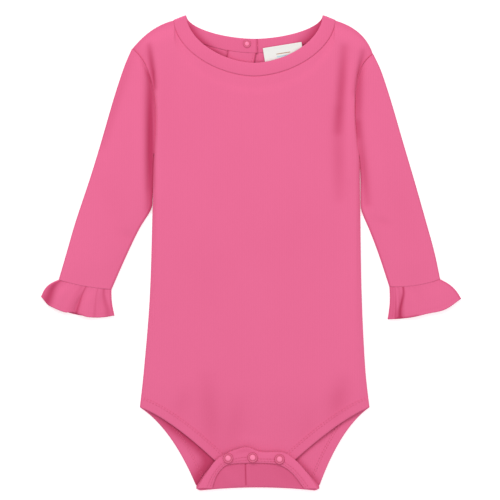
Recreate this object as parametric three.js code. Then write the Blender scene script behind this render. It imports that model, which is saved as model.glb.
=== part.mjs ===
// A long-sleeved baby bodysuit in cotton knit, laid flat on its back with the crotch flap folded up
// over the front and its three snaps closed. Millimetres. X runs across the garment, Y runs from the
// crotch to the neck, Z points up from the surface it lies on. Left is the -X side.
import * as THREE from "three";

// Driving dimensions
const CLOTH = 1.2; // wall of the knit
const TRIM = 1.0; // wall of the placket, the label and the flap's band
const SEAM_GAP = 0.3; // clear distance between two pieces that are sewn together
const BACK_Z = CLOTH / 2; // middle of the back panel's wall
const FRONT_Z = BACK_Z + CLOTH + SEAM_GAP; // middle of the front panel's wall at its edges
const FLAP_Z = FRONT_Z + CLOTH + SEAM_GAP; // middle of the flap's wall
const BAND_Z = FLAP_Z + CLOTH / 2 + SEAM_GAP + TRIM / 2; // middle of the band on the flap
const LINER_Z = BACK_Z + CLOTH / 2 + SEAM_GAP + TRIM / 2; // middle of what lies on the back's inside
const FRONT_PUFF = 2.2; // how far the front stands above its edges
const NECK_LIFT = 1.5; // how far the front's neck stands over the placket and the label
const SLEEVE_EDGE_R = 1.2; // radius of a sleeve's folded edges, at the middle of the wall
const SLEEVE_DOME = 2.4; // extra height along the middle of a sleeve
const FOLD_STEPS = 4; // facets round the crotch fold and round a sleeve's folded edge

// Neck opening: two ovals that share their tips, the free edge inside and the seam outside
const NECK_EDGE = { half: 62.6, tipY: 218, front: 43, back: 21 };
const NECK_SEAM = { half: 74.2, tipY: 213.8, front: 51, back: 30 };
const NECK_SQUARENESS = 1.8;
const NECK_CLEAR = { side: 1.1, depth: 0.9 }; // room between the panels' straight facets and the band
const NECK_TIP_TURN = 0.05; // half of the angle over which the band turns at a tip
const OPENING_TOP_X = 2.5; // end of the band that lies on top at the back opening
const OPENING_UNDER_X = -17; // end of the band that lies underneath

// Body outline
const SHOULDER_LEFT = { x: -112.3, y: 187.6, bowX: -93, bowY: 206 };
const SHOULDER_RIGHT = { x: 109, y: 182.4, bowX: 99, bowY: 203.5 };
const ARMHOLE_LEFT = { x: -92.8, y: 88, bowX: -83.5, bowY: 165 };
const ARMHOLE_RIGHT = { x: 96.6, y: 88, bowX: 81.5, bowY: 165 };
const SIDES = [
  { y: 88, left: -92.8, right: 96.6 },
  { y: 40, left: -93.7, right: 97.2 },
  { y: -40, left: -96.2, right: 98.6 },
  { y: -105, left: -101.4, right: 101.8 },
  { y: -142, left: -105.4, right: 105.8 },
];
const FRONT_LEG = { tabHalf: 36.5, tabTopY: -191, bowLeftX: -78, bowRightX: 80, bowY: -152 };
const FRONT_TAB = { half: 31, y: -203 }; // lower edge of the tab, hidden under the flap
const BACK_LEG = { foldLeftX: -53.4, foldRightX: 59.6, bowLeftX: -76, bowRightX: 79, bowY: -161 };
const FOLD = { x: 3, y: -213.7, half: 56, drop: 3.2 }; // line where the back turns up, lower at its ends
const FLAP_ROWS = [
  { share: 0, left: -53.4, right: 59.6 },
  { share: 0.4, left: -45.6, right: 49.4 },
  { share: 0.75, left: -36.6, right: 39.4 },
  { share: 0.92, left: -30, right: 32.5 },
  { share: 1, left: -23, right: 25 },
];
const FLAP_TOP = { y: -183, rise: 3.4 };
const FLAP_BAND_ROWS = [
  { outerX: -50, outerY: -213, innerX: -38.2, innerY: -213 },
  { outerX: -44.6, outerY: -203.5, innerX: -34, innerY: -204 },
  { outerX: -35, outerY: -191.4, innerX: -26.6, innerY: -195.6 },
  { outerX: -25, outerY: -184.6, innerX: -17, innerY: -193.8 },
  { outerX: 0, outerY: -180.6, innerX: 0, innerY: -193.4 },
  { outerX: 27, outerY: -184.8, innerX: 18, innerY: -194 },
  { outerX: 37.6, outerY: -191.6, innerX: 26.6, innerY: -196.6 },
  { outerX: 47.4, outerY: -202, innerX: 35.4, innerY: -203.5 },
  { outerX: 56.4, outerY: -213, innerX: 44, innerY: -213 },
];

// Soft folds of the front: a line, its half width and its height, downwards when negative
const FRONT_FOLDS = [
  { x0: 84, y0: 178, x1: 77, y1: 60, half: 9, height: -0.9 },
  { x0: 88, y0: 160, x1: 86, y1: 70, half: 6, height: 0.9 },
  { x0: -44, y0: -125, x1: -50, y1: -170, half: 12, height: -0.7 },
  { x0: 78, y0: -120, x1: 74, y1: -155, half: 10, height: -0.6 },
];

// Sleeves: the two edges of the flattened tube at each section, from armhole to cuff seam
const SLEEVE_LEFT_ROWS = [
  { outerX: -112.9, outerY: 187.2, innerX: -94.5, innerY: 87.6, bowX: -85.3, bowY: 165 },
  { outerX: -119.5, outerY: 171.5, innerX: -94.4, innerY: 78, bowX: -94, bowY: 139 },
  { outerX: -129, outerY: 143, innerX: -94.6, innerY: 66, bowX: -106, bowY: 112 },
  { outerX: -141.5, outerY: 100.5, innerX: -94.9, innerY: 50, bowX: -116, bowY: 78 },
  { outerX: -151.5, outerY: 68, innerX: -96, innerY: 39.5, bowX: -123, bowY: 55 },
  { outerX: -164.5, outerY: 29, innerX: -106, innerY: 22, bowX: -135, bowY: 26 },
  { outerX: -173.2, outerY: -1, innerX: -117.6, innerY: -2, bowX: -145, bowY: -1 },
  { outerX: -180, outerY: -24.6, innerX: -131.4, innerY: -33, bowX: -156, bowY: -32 },
];
const SLEEVE_RIGHT_ROWS = [
  { outerX: 109.6, outerY: 182, innerX: 98.4, innerY: 87.6, bowX: 83.4, bowY: 165 },
  { outerX: 116.6, outerY: 166.5, innerX: 98.6, innerY: 78, bowX: 93, bowY: 139 },
  { outerX: 125.5, outerY: 139.5, innerX: 98.8, innerY: 66, bowX: 106, bowY: 112 },
  { outerX: 136.6, outerY: 102.1, innerX: 98.6, innerY: 50, bowX: 115, bowY: 78 },
  { outerX: 147.2, outerY: 66.5, innerX: 99.4, innerY: 38.5, bowX: 122, bowY: 54 },
  { outerX: 157.6, outerY: 30, innerX: 106.4, innerY: 20, bowX: 131, bowY: 25 },
  { outerX: 165.8, outerY: 0, innerX: 114.2, innerY: -1, bowX: 139, bowY: -1 },
  { outerX: 170.6, outerY: -24, innerX: 124, innerY: -30.6, bowX: 149, bowY: -32 },
];
const SLEEVE_SECTIONS = 11;

// Gathered cuffs: seam line, hem line and the ripples along the hem
const CUFF_LEFT = {
  seam: { outerX: -180.2, outerY: -25.2, innerX: -131.6, innerY: -33.6, bowX: -156, bowY: -32.6 },
  hem: { outerX: -196.2, outerY: -38.6, innerX: -129, innerY: -57.4, bowX: -168, bowY: -64 },
  ripples: 3.5,
  phase: 0.6,
};
const CUFF_RIGHT = {
  seam: { outerX: 170.8, outerY: -24.6, innerX: 124.2, innerY: -31.2, bowX: 149, bowY: -32.6 },
  hem: { outerX: 190.2, outerY: -40.6, innerX: 122.8, innerY: -60.4, bowX: 163, bowY: -63 },
  ripples: 3.5,
  phase: 2.1,
};
const CUFF_RIPPLE = 2.6;

const PLACKET = { topY: 182.5, bottomY: 132, leftTop: -24.5, rightTop: 1.5, drift: -9 };
const LABEL = { x: 27.5, y: 178.4, width: 36, height: 26, turn: 0.16 };
const SNAP_PROFILE = [
  { r: 0, z: 0 },
  { r: 4.7, z: 0 },
  { r: 4.7, z: 0.7 },
  { r: 4.1, z: 1.2 },
  { r: 3.2, z: 1.0 },
  { r: 2.8, z: 1.7 },
  { r: 0, z: 1.9 },
];
const SNAP_SIDES = 20;
const NECK_SNAP_SCALE = 0.78;
const CROTCH_SNAPS = [
  { name: "crotch_snap_left", x: -24.3, y: -188.9 },
  { name: "crotch_snap_middle", x: -1.7, y: -188.3 },
  { name: "crotch_snap_right", x: 23.1, y: -189.8 },
];
const NECK_SNAP = { x: -6.9, y: 192.5 };

const PINK = 0xed6b95;
const knit = () => new THREE.MeshStandardMaterial({ color: PINK, roughness: 0.9, metalness: 0 });
const snapPlastic = () => new THREE.MeshStandardMaterial({ color: 0xe0638d, roughness: 0.35, metalness: 0 });
const labelCloth = () => new THREE.MeshStandardMaterial({ color: 0xf4f1ec, roughness: 0.7, metalness: 0 });

const lerp = THREE.MathUtils.lerp;
const smooth = THREE.MathUtils.smoothstep;
const UP = new THREE.Vector3(0, 0, 1);
const DOWN = new THREE.Vector3(0, 0, -1);

/** Point on a quadratic curve from start to end, pulled towards a bow point. */
function bowed(start, bow, end, share) {
  const rest = 1 - share;
  const weight = { start: rest * rest, bow: 2 * rest * share, end: share * share };
  return new THREE.Vector2(
    start.x * weight.start + bow.x * weight.bow + end.x * weight.end,
    start.y * weight.start + bow.y * weight.bow + end.y * weight.end,
  );
}

/** Smooth value of one named column at a share of the way down a table. */
function column(rows, name, share) {
  const points = rows.map((row, index) => new THREE.Vector2(index, row[name]));
  return new THREE.SplineCurve(points).getPoint(share).y;
}

/** Point on a neck oval: angles 0 to PI are the back half, PI to 2 PI the front half. */
function neckPoint(oval, angle) {
  const power = 2 / NECK_SQUARENESS;
  const across = Math.cos(angle);
  const down = Math.sin(angle);
  const depth = down < 0 ? oval.front : oval.back;
  return new THREE.Vector2(
    oval.half * Math.sign(across) * Math.abs(across) ** power,
    oval.tipY - depth * Math.abs(down) ** power,
  );
}

/** Closed wall of cloth through a grid of { p, n }: the middle of the wall and its outward side. */
function clothWall(grid, thickness, ringed = false) {
  const rows = grid.length;
  const cols = grid[0].length;
  const positions = [];
  for (const side of [0.5, -0.5]) {
    for (const row of grid) {
      for (const { p, n } of row) {
        positions.push(...p.clone().addScaledVector(n, side * thickness).toArray());
      }
    }
  }
  const inside = rows * cols;
  const at = (r, c) => r * cols + (c % cols);
  const index = [];
  const quad = (a, b, c, d) => index.push(a, b, c, a, c, d);
  const lastCol = ringed ? cols : cols - 1;
  for (let r = 0; r < rows - 1; r += 1) {
    for (let c = 0; c < lastCol; c += 1) {
      quad(at(r, c), at(r, c + 1), at(r + 1, c + 1), at(r + 1, c));
      quad(inside + at(r, c), inside + at(r + 1, c), inside + at(r + 1, c + 1), inside + at(r, c + 1));
    }
    if (!ringed) {
      quad(at(r, 0), at(r + 1, 0), inside + at(r + 1, 0), inside + at(r, 0));
      quad(at(r + 1, cols - 1), at(r, cols - 1), inside + at(r, cols - 1), inside + at(r + 1, cols - 1));
    }
  }
  for (let c = 0; c < lastCol; c += 1) {
    quad(at(0, c + 1), at(0, c), inside + at(0, c), inside + at(0, c + 1));
    quad(at(rows - 1, c), at(rows - 1, c + 1), inside + at(rows - 1, c + 1), inside + at(rows - 1, c));
  }
  const geometry = new THREE.BufferGeometry();
  geometry.setAttribute("position", new THREE.Float32BufferAttribute(positions, 3));
  geometry.setIndex(volume(positions, index) < 0 ? reversed(index) : index);
  geometry.computeVertexNormals();
  return geometry;
}

/** Six times the signed volume inside a list of triangles. */
function volume(positions, index) {
  const corner = (i) => new THREE.Vector3().fromArray(positions, 3 * i);
  let sum = 0;
  for (let i = 0; i < index.length; i += 3) {
    sum += corner(index[i]).dot(corner(index[i + 1]).cross(corner(index[i + 2])));
  }
  return sum;
}

/** The same triangles, facing the other way. */
function reversed(index) {
  const turned = [];
  for (let i = 0; i < index.length; i += 3) {
    turned.push(index[i], index[i + 2], index[i + 1]);
  }
  return turned;
}

/** Patch between four edge curves; the side curves shape only a strip along each side. */
function patch(edges, u, v) {
  const { left, right, bottom, top } = edges;
  const bulge = (edge, end) => edge(v).sub(bottom(end).lerp(top(end), v));
  const fade = (share) => Math.max(0, 1 - share / SHOULDER_SHARE) ** 1.5;
  const place = bottom(u).lerp(top(u), v);
  place.add(bulge(left, 0).multiplyScalar(fade(u)));
  return place.add(bulge(right, 1).multiplyScalar(fade(1 - u)));
}

/** Height of the soft folds of the front at a place. */
function foldHeight(x, y) {
  let height = 0;
  for (const fold of FRONT_FOLDS) {
    const line = new THREE.Line3(new THREE.Vector3(fold.x0, fold.y0, 0), new THREE.Vector3(fold.x1, fold.y1, 0));
    const place = new THREE.Vector3(x, y, 0);
    const nearest = line.closestPointToPoint(place, true, new THREE.Vector3());
    height += fold.height * Math.exp(-((place.distanceTo(nearest) / fold.half) ** 2));
  }
  return height;
}

/** Height of the front's neck over what lies on the back's inside, none at the shoulders. */
function neckLift(x, y) {
  return NECK_LIFT * (1 - smooth(Math.abs(x), 52, 76)) * smooth(y, 100, 128);
}

const SIDE_SHARE = 0.68; // share of a panel's edge that is side seam, below the armhole
const SHOULDER_SHARE = 1 / 6; // share of a panel's top that is one shoulder, and its side's strip
const LEG_SHARE = 1 / 3; // share of the front's lower edge that is one leg opening
const PANEL_NECK = { half: NECK_SEAM.half + NECK_CLEAR.side, tipY: NECK_SEAM.tipY - NECK_CLEAR.depth };

/** Side seam and armhole of one side, from hip to shoulder. */
function sideEdge(side, armhole, shoulder, share) {
  if (share <= SIDE_SHARE) {
    const down = 1 - share / SIDE_SHARE;
    return new THREE.Vector2(column(SIDES, side, down), lerp(SIDES.at(-1).y, SIDES[0].y, 1 - down));
  }
  const up = (share - SIDE_SHARE) / (1 - SIDE_SHARE);
  return bowed(armhole, { x: armhole.bowX, y: armhole.bowY }, shoulder, up);
}

/** Shoulders and neck seam of a panel, from left to right. */
function topEdge(depth, share) {
  const neckLeft = { x: -PANEL_NECK.half, y: PANEL_NECK.tipY };
  const neckRight = { x: PANEL_NECK.half, y: PANEL_NECK.tipY };
  const bowOf = (shoulder) => ({ x: shoulder.bowX, y: shoulder.bowY });
  if (share < SHOULDER_SHARE) {
    return bowed(SHOULDER_LEFT, bowOf(SHOULDER_LEFT), neckLeft, share / SHOULDER_SHARE);
  }
  if (share > 1 - SHOULDER_SHARE) {
    return bowed(SHOULDER_RIGHT, bowOf(SHOULDER_RIGHT), neckRight, (1 - share) / SHOULDER_SHARE);
  }
  const around = (share - SHOULDER_SHARE) / (1 - 2 * SHOULDER_SHARE);
  return neckPoint({ ...PANEL_NECK, front: depth, back: depth }, Math.PI * (1 - around));
}

/** Lower edge of the front: leg opening, hidden tab, leg opening. */
function frontLowerEdge(share) {
  const legOf = (hip, bowX, sign) => (part) =>
    bowed(hip, { x: bowX, y: FRONT_LEG.bowY }, { x: sign * FRONT_LEG.tabHalf, y: FRONT_LEG.tabTopY }, part);
  const hip = SIDES.at(-1);
  if (share <= LEG_SHARE) {
    return legOf({ x: hip.left, y: hip.y }, FRONT_LEG.bowLeftX, -1)(share / LEG_SHARE);
  }
  if (share >= 1 - LEG_SHARE) {
    return legOf({ x: hip.right, y: hip.y }, FRONT_LEG.bowRightX, 1)((1 - share) / LEG_SHARE);
  }
  const part = (share - LEG_SHARE) / (1 - 2 * LEG_SHARE);
  const end = smooth(Math.abs(2 * part - 1), 0.7, 1);
  const half = lerp(FRONT_TAB.half, FRONT_LEG.tabHalf, end);
  return new THREE.Vector2((2 * part - 1) * half, lerp(FRONT_TAB.y, FRONT_LEG.tabTopY, end));
}

function frontPanel() {
  const cols = 24;
  const rows = 22;
  const edges = {
    left: (v) => sideEdge("left", ARMHOLE_LEFT, SHOULDER_LEFT, v),
    right: (v) => sideEdge("right", ARMHOLE_RIGHT, SHOULDER_RIGHT, v),
    bottom: frontLowerEdge,
    top: (u) => topEdge(NECK_SEAM.front, u),
  };
  const grid = [];
  for (let r = 0; r <= rows; r += 1) {
    const row = [];
    for (let c = 0; c <= cols; c += 1) {
      const u = c / cols;
      const v = r / rows;
      const place = patch(edges, u, v);
      const inner = smooth(Math.min(u, 1 - u), 0, 0.12) * smooth(1 - v, 0, 0.1) * smooth(place.y, -176, -120);
      const puff = inner * (FRONT_PUFF + foldHeight(place.x, place.y));
      const z = FRONT_Z + Math.max(puff, neckLift(place.x, place.y));
      row.push({ p: new THREE.Vector3(place.x, place.y, z), n: UP });
    }
    grid.push(row);
  }
  return clothWall(grid, CLOTH);
}

/** Y of the line on which the back starts to turn up into the flap. */
function foldLine(x) {
  return FOLD.y - FOLD.drop * ((x - FOLD.x) / FOLD.half) ** 2;
}

/** Lower edge of the back, on the line where it turns up, with its leg openings. */
function backLowerEdge(share) {
  const hip = SIDES.at(-1);
  const legShare = 1 / 4;
  const fold = (x) => ({ x, y: foldLine(x) });
  if (share < legShare) {
    const bow = { x: BACK_LEG.bowLeftX, y: BACK_LEG.bowY };
    return bowed({ x: hip.left, y: hip.y }, bow, fold(BACK_LEG.foldLeftX), share / legShare);
  }
  if (share > 1 - legShare) {
    const bow = { x: BACK_LEG.bowRightX, y: BACK_LEG.bowY };
    return bowed({ x: hip.right, y: hip.y }, bow, fold(BACK_LEG.foldRightX), (1 - share) / legShare);
  }
  const part = (share - legShare) / (1 - 2 * legShare);
  const x = lerp(BACK_LEG.foldLeftX, BACK_LEG.foldRightX, part);
  return new THREE.Vector2(x, foldLine(x));
}

/** Place on the flap: u across it, share from the fold to its free edge. */
function flapPoint(u, share) {
  const shares = FLAP_ROWS.map((row) => row.share);
  const next = Math.max(1, shares.findIndex((value) => value >= share));
  const [low, high] = [FLAP_ROWS[next - 1], FLAP_ROWS[next]];
  const part = (share - low.share) / (high.share - low.share);
  const x = lerp(lerp(low.left, high.left, part), lerp(low.right, high.right, part), u);
  const topY = FLAP_TOP.y + FLAP_TOP.rise * (1 - (2 * u - 1) ** 2);
  const foldX = lerp(FLAP_ROWS[0].left, FLAP_ROWS[0].right, u);
  return new THREE.Vector2(x, lerp(foldLine(foldX), topY, share));
}

/** The fold round which the back turns up: its angle goes from 0, on the back, to PI, on the flap. */
function foldRow(columns, angle) {
  const radius = (FLAP_Z - BACK_Z) / 2;
  return columns.map((x) => ({
    p: new THREE.Vector3(x, foldLine(x) - radius * Math.sin(angle), BACK_Z + radius * (1 - Math.cos(angle))),
    n: new THREE.Vector3(0, -Math.sin(angle), -Math.cos(angle)),
  }));
}

/** The back, without its flap: a flat patch on the surface. */
function backPanel() {
  const cols = 24;
  const rows = 16;
  const foldFirst = cols / 4;
  const foldLast = cols - foldFirst;
  const edges = {
    left: (v) => sideEdge("left", ARMHOLE_LEFT, SHOULDER_LEFT, v),
    right: (v) => sideEdge("right", ARMHOLE_RIGHT, SHOULDER_RIGHT, v),
    bottom: backLowerEdge,
    top: (u) => topEdge(NECK_SEAM.back, u),
  };
  const body = [];
  for (let r = rows; r >= 0; r -= 1) {
    const row = [];
    for (let c = 0; c <= cols; c += 1) {
      const place = patch(edges, c / cols, r / rows);
      row.push({ p: new THREE.Vector3(place.x, place.y, BACK_Z), n: DOWN });
    }
    body.push(row);
  }
  const columns = body.at(-1).slice(foldFirst, foldLast + 1).map(({ p }) => p.x);
  const flap = [];
  for (let step = 1; step <= FOLD_STEPS; step += 1) {
    flap.push(foldRow(columns, (Math.PI * step) / FOLD_STEPS));
  }
  for (const share of [0.2, 0.4, 0.6, 0.75, 0.86, 0.94, 1]) {
    flap.push(columns.map((_, c) => {
      const place = flapPoint(c / (columns.length - 1), share);
      return { p: new THREE.Vector3(place.x, place.y, FLAP_Z), n: UP };
    }));
  }
  return steppedWall(body, flap, foldFirst, CLOTH);
}

/** Closed wall through a grid whose later rows are narrower and start at column `first`. */
function steppedWall(wide, narrow, first, thickness) {
  const cols = wide[0].length;
  const span = narrow[0].length;
  const places = [...wide.flat(), ...narrow.flat()];
  const positions = [];
  for (const side of [0.5, -0.5]) {
    for (const { p, n } of places) {
      positions.push(...p.clone().addScaledVector(n, side * thickness).toArray());
    }
  }
  const faces = [];
  const atWide = (r, c) => r * cols + c;
  const atNarrow = (r, c) => (r < 0 ? atWide(wide.length - 1, first + c) : wide.length * cols + r * span + c);
  const addFaces = (rowCount, colCount, at) => {
    for (let r = 0; r < rowCount; r += 1) {
      for (let c = 0; c < colCount; c += 1) {
        faces.push([at(r, c), at(r, c + 1), at(r + 1, c + 1), at(r + 1, c)]);
      }
    }
  };
  addFaces(wide.length - 1, cols - 1, atWide);
  addFaces(narrow.length, span - 1, (r, c) => atNarrow(r - 1, c));
  const inside = places.length;
  const index = [];
  const rim = new Map();
  for (const [a, b, c, d] of faces) {
    index.push(a, b, c, a, c, d);
    index.push(inside + a, inside + c, inside + b, inside + a, inside + d, inside + c);
    for (const [from, to] of [[a, b], [b, c], [c, d], [d, a]]) {
      const other = `${to}>${from}`;
      if (!rim.delete(other)) {
        rim.set(`${from}>${to}`, [from, to]);
      }
    }
  }
  for (const [from, to] of rim.values()) {
    index.push(to, from, inside + from, to, inside + from, inside + to);
  }
  const geometry = new THREE.BufferGeometry();
  geometry.setAttribute("position", new THREE.Float32BufferAttribute(positions, 3));
  geometry.setIndex(volume(positions, index) < 0 ? reversed(index) : index);
  geometry.computeVertexNormals();
  return geometry;
}

/** One flattened ring of a sleeve or cuff: flat below, domed above, round at its two edges. */
function flattenedRing(section, flatPoints, topHeight) {
  const outer = { x: section.outerX, y: section.outerY };
  const inner = { x: section.innerX, y: section.innerY };
  const bow = { x: section.bowX, y: section.bowY };
  const inset = (SLEEVE_EDGE_R + CLOTH / 2) / Math.hypot(outer.x - inner.x, outer.y - inner.y);
  const place = (t) => bowed(outer, bow, inner, lerp(inset, 1 - inset, t));
  const outwards = (t) => {
    const tangent = t === 0 ? place(0).sub(place(0.05)) : place(1).sub(place(0.95));
    return tangent.normalize();
  };
  const ring = [];
  for (let i = 0; i <= flatPoints; i += 1) {
    const t = i / flatPoints;
    ring.push({ p: new THREE.Vector3(...place(t).toArray(), BACK_Z), n: DOWN });
  }
  const cap = (t) => {
    for (let step = 1; step < FOLD_STEPS; step += 1) {
      const angle = (Math.PI * (t === 1 ? step : FOLD_STEPS - step)) / FOLD_STEPS;
      const way = outwards(t);
      const n = new THREE.Vector3(way.x * Math.sin(angle), way.y * Math.sin(angle), -Math.cos(angle));
      const centre = new THREE.Vector3(...place(t).toArray(), BACK_Z + SLEEVE_EDGE_R);
      ring.push({ p: centre.addScaledVector(n, SLEEVE_EDGE_R), n });
    }
  };
  cap(1);
  for (let i = flatPoints; i >= 0; i -= 1) {
    const t = i / flatPoints;
    const z = BACK_Z + 2 * SLEEVE_EDGE_R + topHeight(t);
    ring.push({ p: new THREE.Vector3(...place(t).toArray(), z), n: UP });
  }
  cap(0);
  return ring;
}

/** A long sleeve through the sections of its table. */
function sleeve(rows) {
  const names = ["outerX", "outerY", "innerX", "innerY", "bowX", "bowY"];
  const grid = [];
  for (let step = 0; step <= SLEEVE_SECTIONS; step += 1) {
    const share = step / SLEEVE_SECTIONS;
    const section = Object.fromEntries(names.map((name) => [name, column(rows, name, share)]));
    const dome = SLEEVE_DOME * smooth(share, 0, 0.12) * (1 - 0.6 * smooth(share, 0.85, 1));
    grid.push(flattenedRing(section, 8, (t) => dome * (1 - (2 * t - 1) ** 2)));
  }
  return clothWall(grid, CLOTH, true);
}

/** A gathered cuff that flares from its seam to a rippled hem. */
function cuffRuffle(cuff) {
  const steps = 3;
  const grid = [];
  for (let step = 0; step <= steps; step += 1) {
    const share = step / steps;
    const section = {};
    for (const name of Object.keys(cuff.seam)) {
      section[name] = lerp(cuff.seam[name], cuff.hem[name], share);
    }
    const ripple = (t) => 0.5 + 0.5 * Math.sin(2 * Math.PI * cuff.ripples * t + cuff.phase);
    const rise = (t) => (1 - (2 * t - 1) ** 4) * (0.9 + CUFF_RIPPLE * share * ripple(t));
    grid.push(flattenedRing(section, 18, rise));
  }
  return clothWall(grid, CLOTH, true);
}

/** Angle on the back half of the neck's free edge at which it crosses a given x. */
function backAngle(x) {
  return Math.acos(Math.sign(x) * (Math.abs(x) / NECK_EDGE.half) ** (NECK_SQUARENESS / 2));
}

/** Angles round the neckband, closer together where it turns over at the tips. */
function neckAngles(start, end) {
  const turns = [Math.PI, 2 * Math.PI];
  const stops = [start, ...turns.flatMap((tip) => [tip - NECK_TIP_TURN, tip + NECK_TIP_TURN]), end];
  const steps = [9, 6, 20, 6, 9];
  const angles = [start];
  steps.forEach((count, stretch) => {
    for (let step = 1; step <= count; step += 1) {
      angles.push(lerp(stops[stretch], stops[stretch + 1], step / count));
    }
  });
  return angles;
}

/** The neckband: one strip, along the back, round a tip, along the front, round the other tip. */
function neckband() {
  const start = backAngle(OPENING_TOP_X);
  const end = 2 * Math.PI + backAngle(OPENING_UNDER_X);
  const grid = [];
  for (const angle of neckAngles(start, end)) {
    const firstTurn = smooth(angle, Math.PI - NECK_TIP_TURN, Math.PI + NECK_TIP_TURN);
    const secondTurn = smooth(angle, 2 * Math.PI - NECK_TIP_TURN, 2 * Math.PI + NECK_TIP_TURN);
    const turn = Math.PI * (firstTurn - secondTurn);
    const tipSide = angle < 1.5 * Math.PI ? -1 : 1;
    const radius = (FRONT_Z - BACK_Z) / 2;
    const lap = (FRONT_Z - BACK_Z) * (1 - smooth(angle, start + 0.35, start + 0.8));
    const edge = neckPoint(NECK_EDGE, angle);
    const seam = neckPoint(NECK_SEAM, angle);
    const outwards = new THREE.Vector3(tipSide * 0.34, 0.94, 0);
    const n = outwards.clone().multiplyScalar(Math.sin(turn)).addScaledVector(UP, -Math.cos(turn));
    const lift = turn > 0 ? neckLift(seam.x, seam.y) : 0;
    grid.push([0, 0.5, 1].map((across) => {
      const place = seam.clone().lerp(edge, across);
      const z = BACK_Z + lap + lift + radius * (1 - Math.cos(turn));
      const p = new THREE.Vector3(place.x, place.y, z);
      return { p: p.addScaledVector(outwards, radius * Math.sin(turn)), n };
    }));
  }
  return clothWall(grid, CLOTH);
}

/** The inverted-U band that hems the flap. */
function flapBand() {
  const steps = 28;
  const grid = [];
  for (let step = 0; step <= steps; step += 1) {
    const share = step / steps;
    const at = (name) => column(FLAP_BAND_ROWS, name, share);
    grid.push([0, 0.5, 1].map((across) => ({
      p: new THREE.Vector3(
        lerp(at("outerX"), at("innerX"), across),
        lerp(at("outerY"), at("innerY"), across),
        BAND_Z,
      ),
      n: UP,
    })));
  }
  return clothWall(grid, TRIM);
}

/** Facing of the back opening, on the inside of the back. */
function backPlacket() {
  const grid = [1, 0.5, 0].map((up) => [0, 0.5, 1].map((across) => {
    const x = lerp(PLACKET.leftTop, PLACKET.rightTop, across) + PLACKET.drift * (1 - up);
    return { p: new THREE.Vector3(x, lerp(PLACKET.bottomY, PLACKET.topY, up), LINER_Z), n: UP };
  }));
  return clothWall(grid, TRIM);
}

/** Woven label, turned a little, on the inside of the back. */
function neckLabel() {
  const grid = [-0.5, 0.5].map((up) => [-0.5, 0.5].map((across) => {
    const place = new THREE.Vector2(across * LABEL.width, up * LABEL.height);
    place.rotateAround(new THREE.Vector2(), LABEL.turn);
    return { p: new THREE.Vector3(LABEL.x + place.x, LABEL.y + place.y, LINER_Z), n: UP };
  }));
  return clothWall(grid, TRIM);
}

/** Turned profile of a snap's cap, standing on Z = 0. */
function snapCap() {
  const profile = SNAP_PROFILE.map(({ r, z }) => new THREE.Vector2(r, z));
  return new THREE.LatheGeometry(profile, SNAP_SIDES).rotateX(Math.PI / 2);
}

/** Adds one named piece to the garment. */
function addPiece(garment, name, geometry, material) {
  const mesh = new THREE.Mesh(geometry, material);
  mesh.name = name;
  garment.add(mesh);
  return mesh;
}

const garment = new THREE.Group();
addPiece(garment, "front_panel", frontPanel(), knit());
addPiece(garment, "back_panel", backPanel(), knit());
addPiece(garment, "sleeve_left", sleeve(SLEEVE_LEFT_ROWS), knit());
addPiece(garment, "sleeve_right", sleeve(SLEEVE_RIGHT_ROWS), knit());
addPiece(garment, "cuff_ruffle_left", cuffRuffle(CUFF_LEFT), knit());
addPiece(garment, "cuff_ruffle_right", cuffRuffle(CUFF_RIGHT), knit());
addPiece(garment, "neckband", neckband(), knit());
addPiece(garment, "flap_band", flapBand(), knit());
addPiece(garment, "back_placket", backPlacket(), knit());
addPiece(garment, "neck_label", neckLabel(), labelCloth());
for (const { name, x, y } of CROTCH_SNAPS) {
  const snap = addPiece(garment, name, snapCap(), snapPlastic());
  snap.position.set(x, y, BAND_Z + TRIM / 2 + SEAM_GAP);
}
const neckSnap = addPiece(garment, "neck_snap", snapCap(), snapPlastic());
neckSnap.scale.setScalar(NECK_SNAP_SCALE);
neckSnap.position.set(NECK_SNAP.x, NECK_SNAP.y, FRONT_Z + CLOTH / 2 + SEAM_GAP);

// The origin is the middle of the garment's box, on the surface it lies on
const box = new THREE.Box3().setFromObject(garment);
const middle = box.getCenter(new THREE.Vector3());
garment.position.set(-middle.x, -middle.y, -box.min.z);

export default garment;
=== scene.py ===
"""A long-sleeved baby bodysuit in pink cotton knit, laid flat with its crotch flap snapped up.

Sizes are millimetres on the garment's own centre line; GarmentFrame turns them into metres in the
shared frame. X runs across, Y from the crotch to the neck, Z up from the floor.
"""

import logging
import math
from collections.abc import Callable, Sequence
from dataclasses import dataclass, field
from enum import Enum

import bmesh
import bpy
from mathutils import Matrix, Vector
from mathutils.bvhtree import BVHTree


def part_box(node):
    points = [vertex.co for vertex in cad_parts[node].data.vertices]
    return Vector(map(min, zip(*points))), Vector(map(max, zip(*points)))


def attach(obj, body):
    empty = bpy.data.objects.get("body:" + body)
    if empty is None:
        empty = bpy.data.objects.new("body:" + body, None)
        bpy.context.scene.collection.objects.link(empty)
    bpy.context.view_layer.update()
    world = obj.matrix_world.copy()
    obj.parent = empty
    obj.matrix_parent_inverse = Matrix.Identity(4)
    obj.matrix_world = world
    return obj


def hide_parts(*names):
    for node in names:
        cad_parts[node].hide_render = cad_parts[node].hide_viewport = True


log = logging.getLogger("bodysuit")
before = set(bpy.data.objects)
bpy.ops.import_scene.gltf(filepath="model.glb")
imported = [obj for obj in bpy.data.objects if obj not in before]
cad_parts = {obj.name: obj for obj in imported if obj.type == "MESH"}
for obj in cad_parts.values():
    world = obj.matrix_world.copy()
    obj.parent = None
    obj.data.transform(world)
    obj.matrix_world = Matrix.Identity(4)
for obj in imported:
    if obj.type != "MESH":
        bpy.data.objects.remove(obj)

MM = 0.001
BODY = "root"

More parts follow.
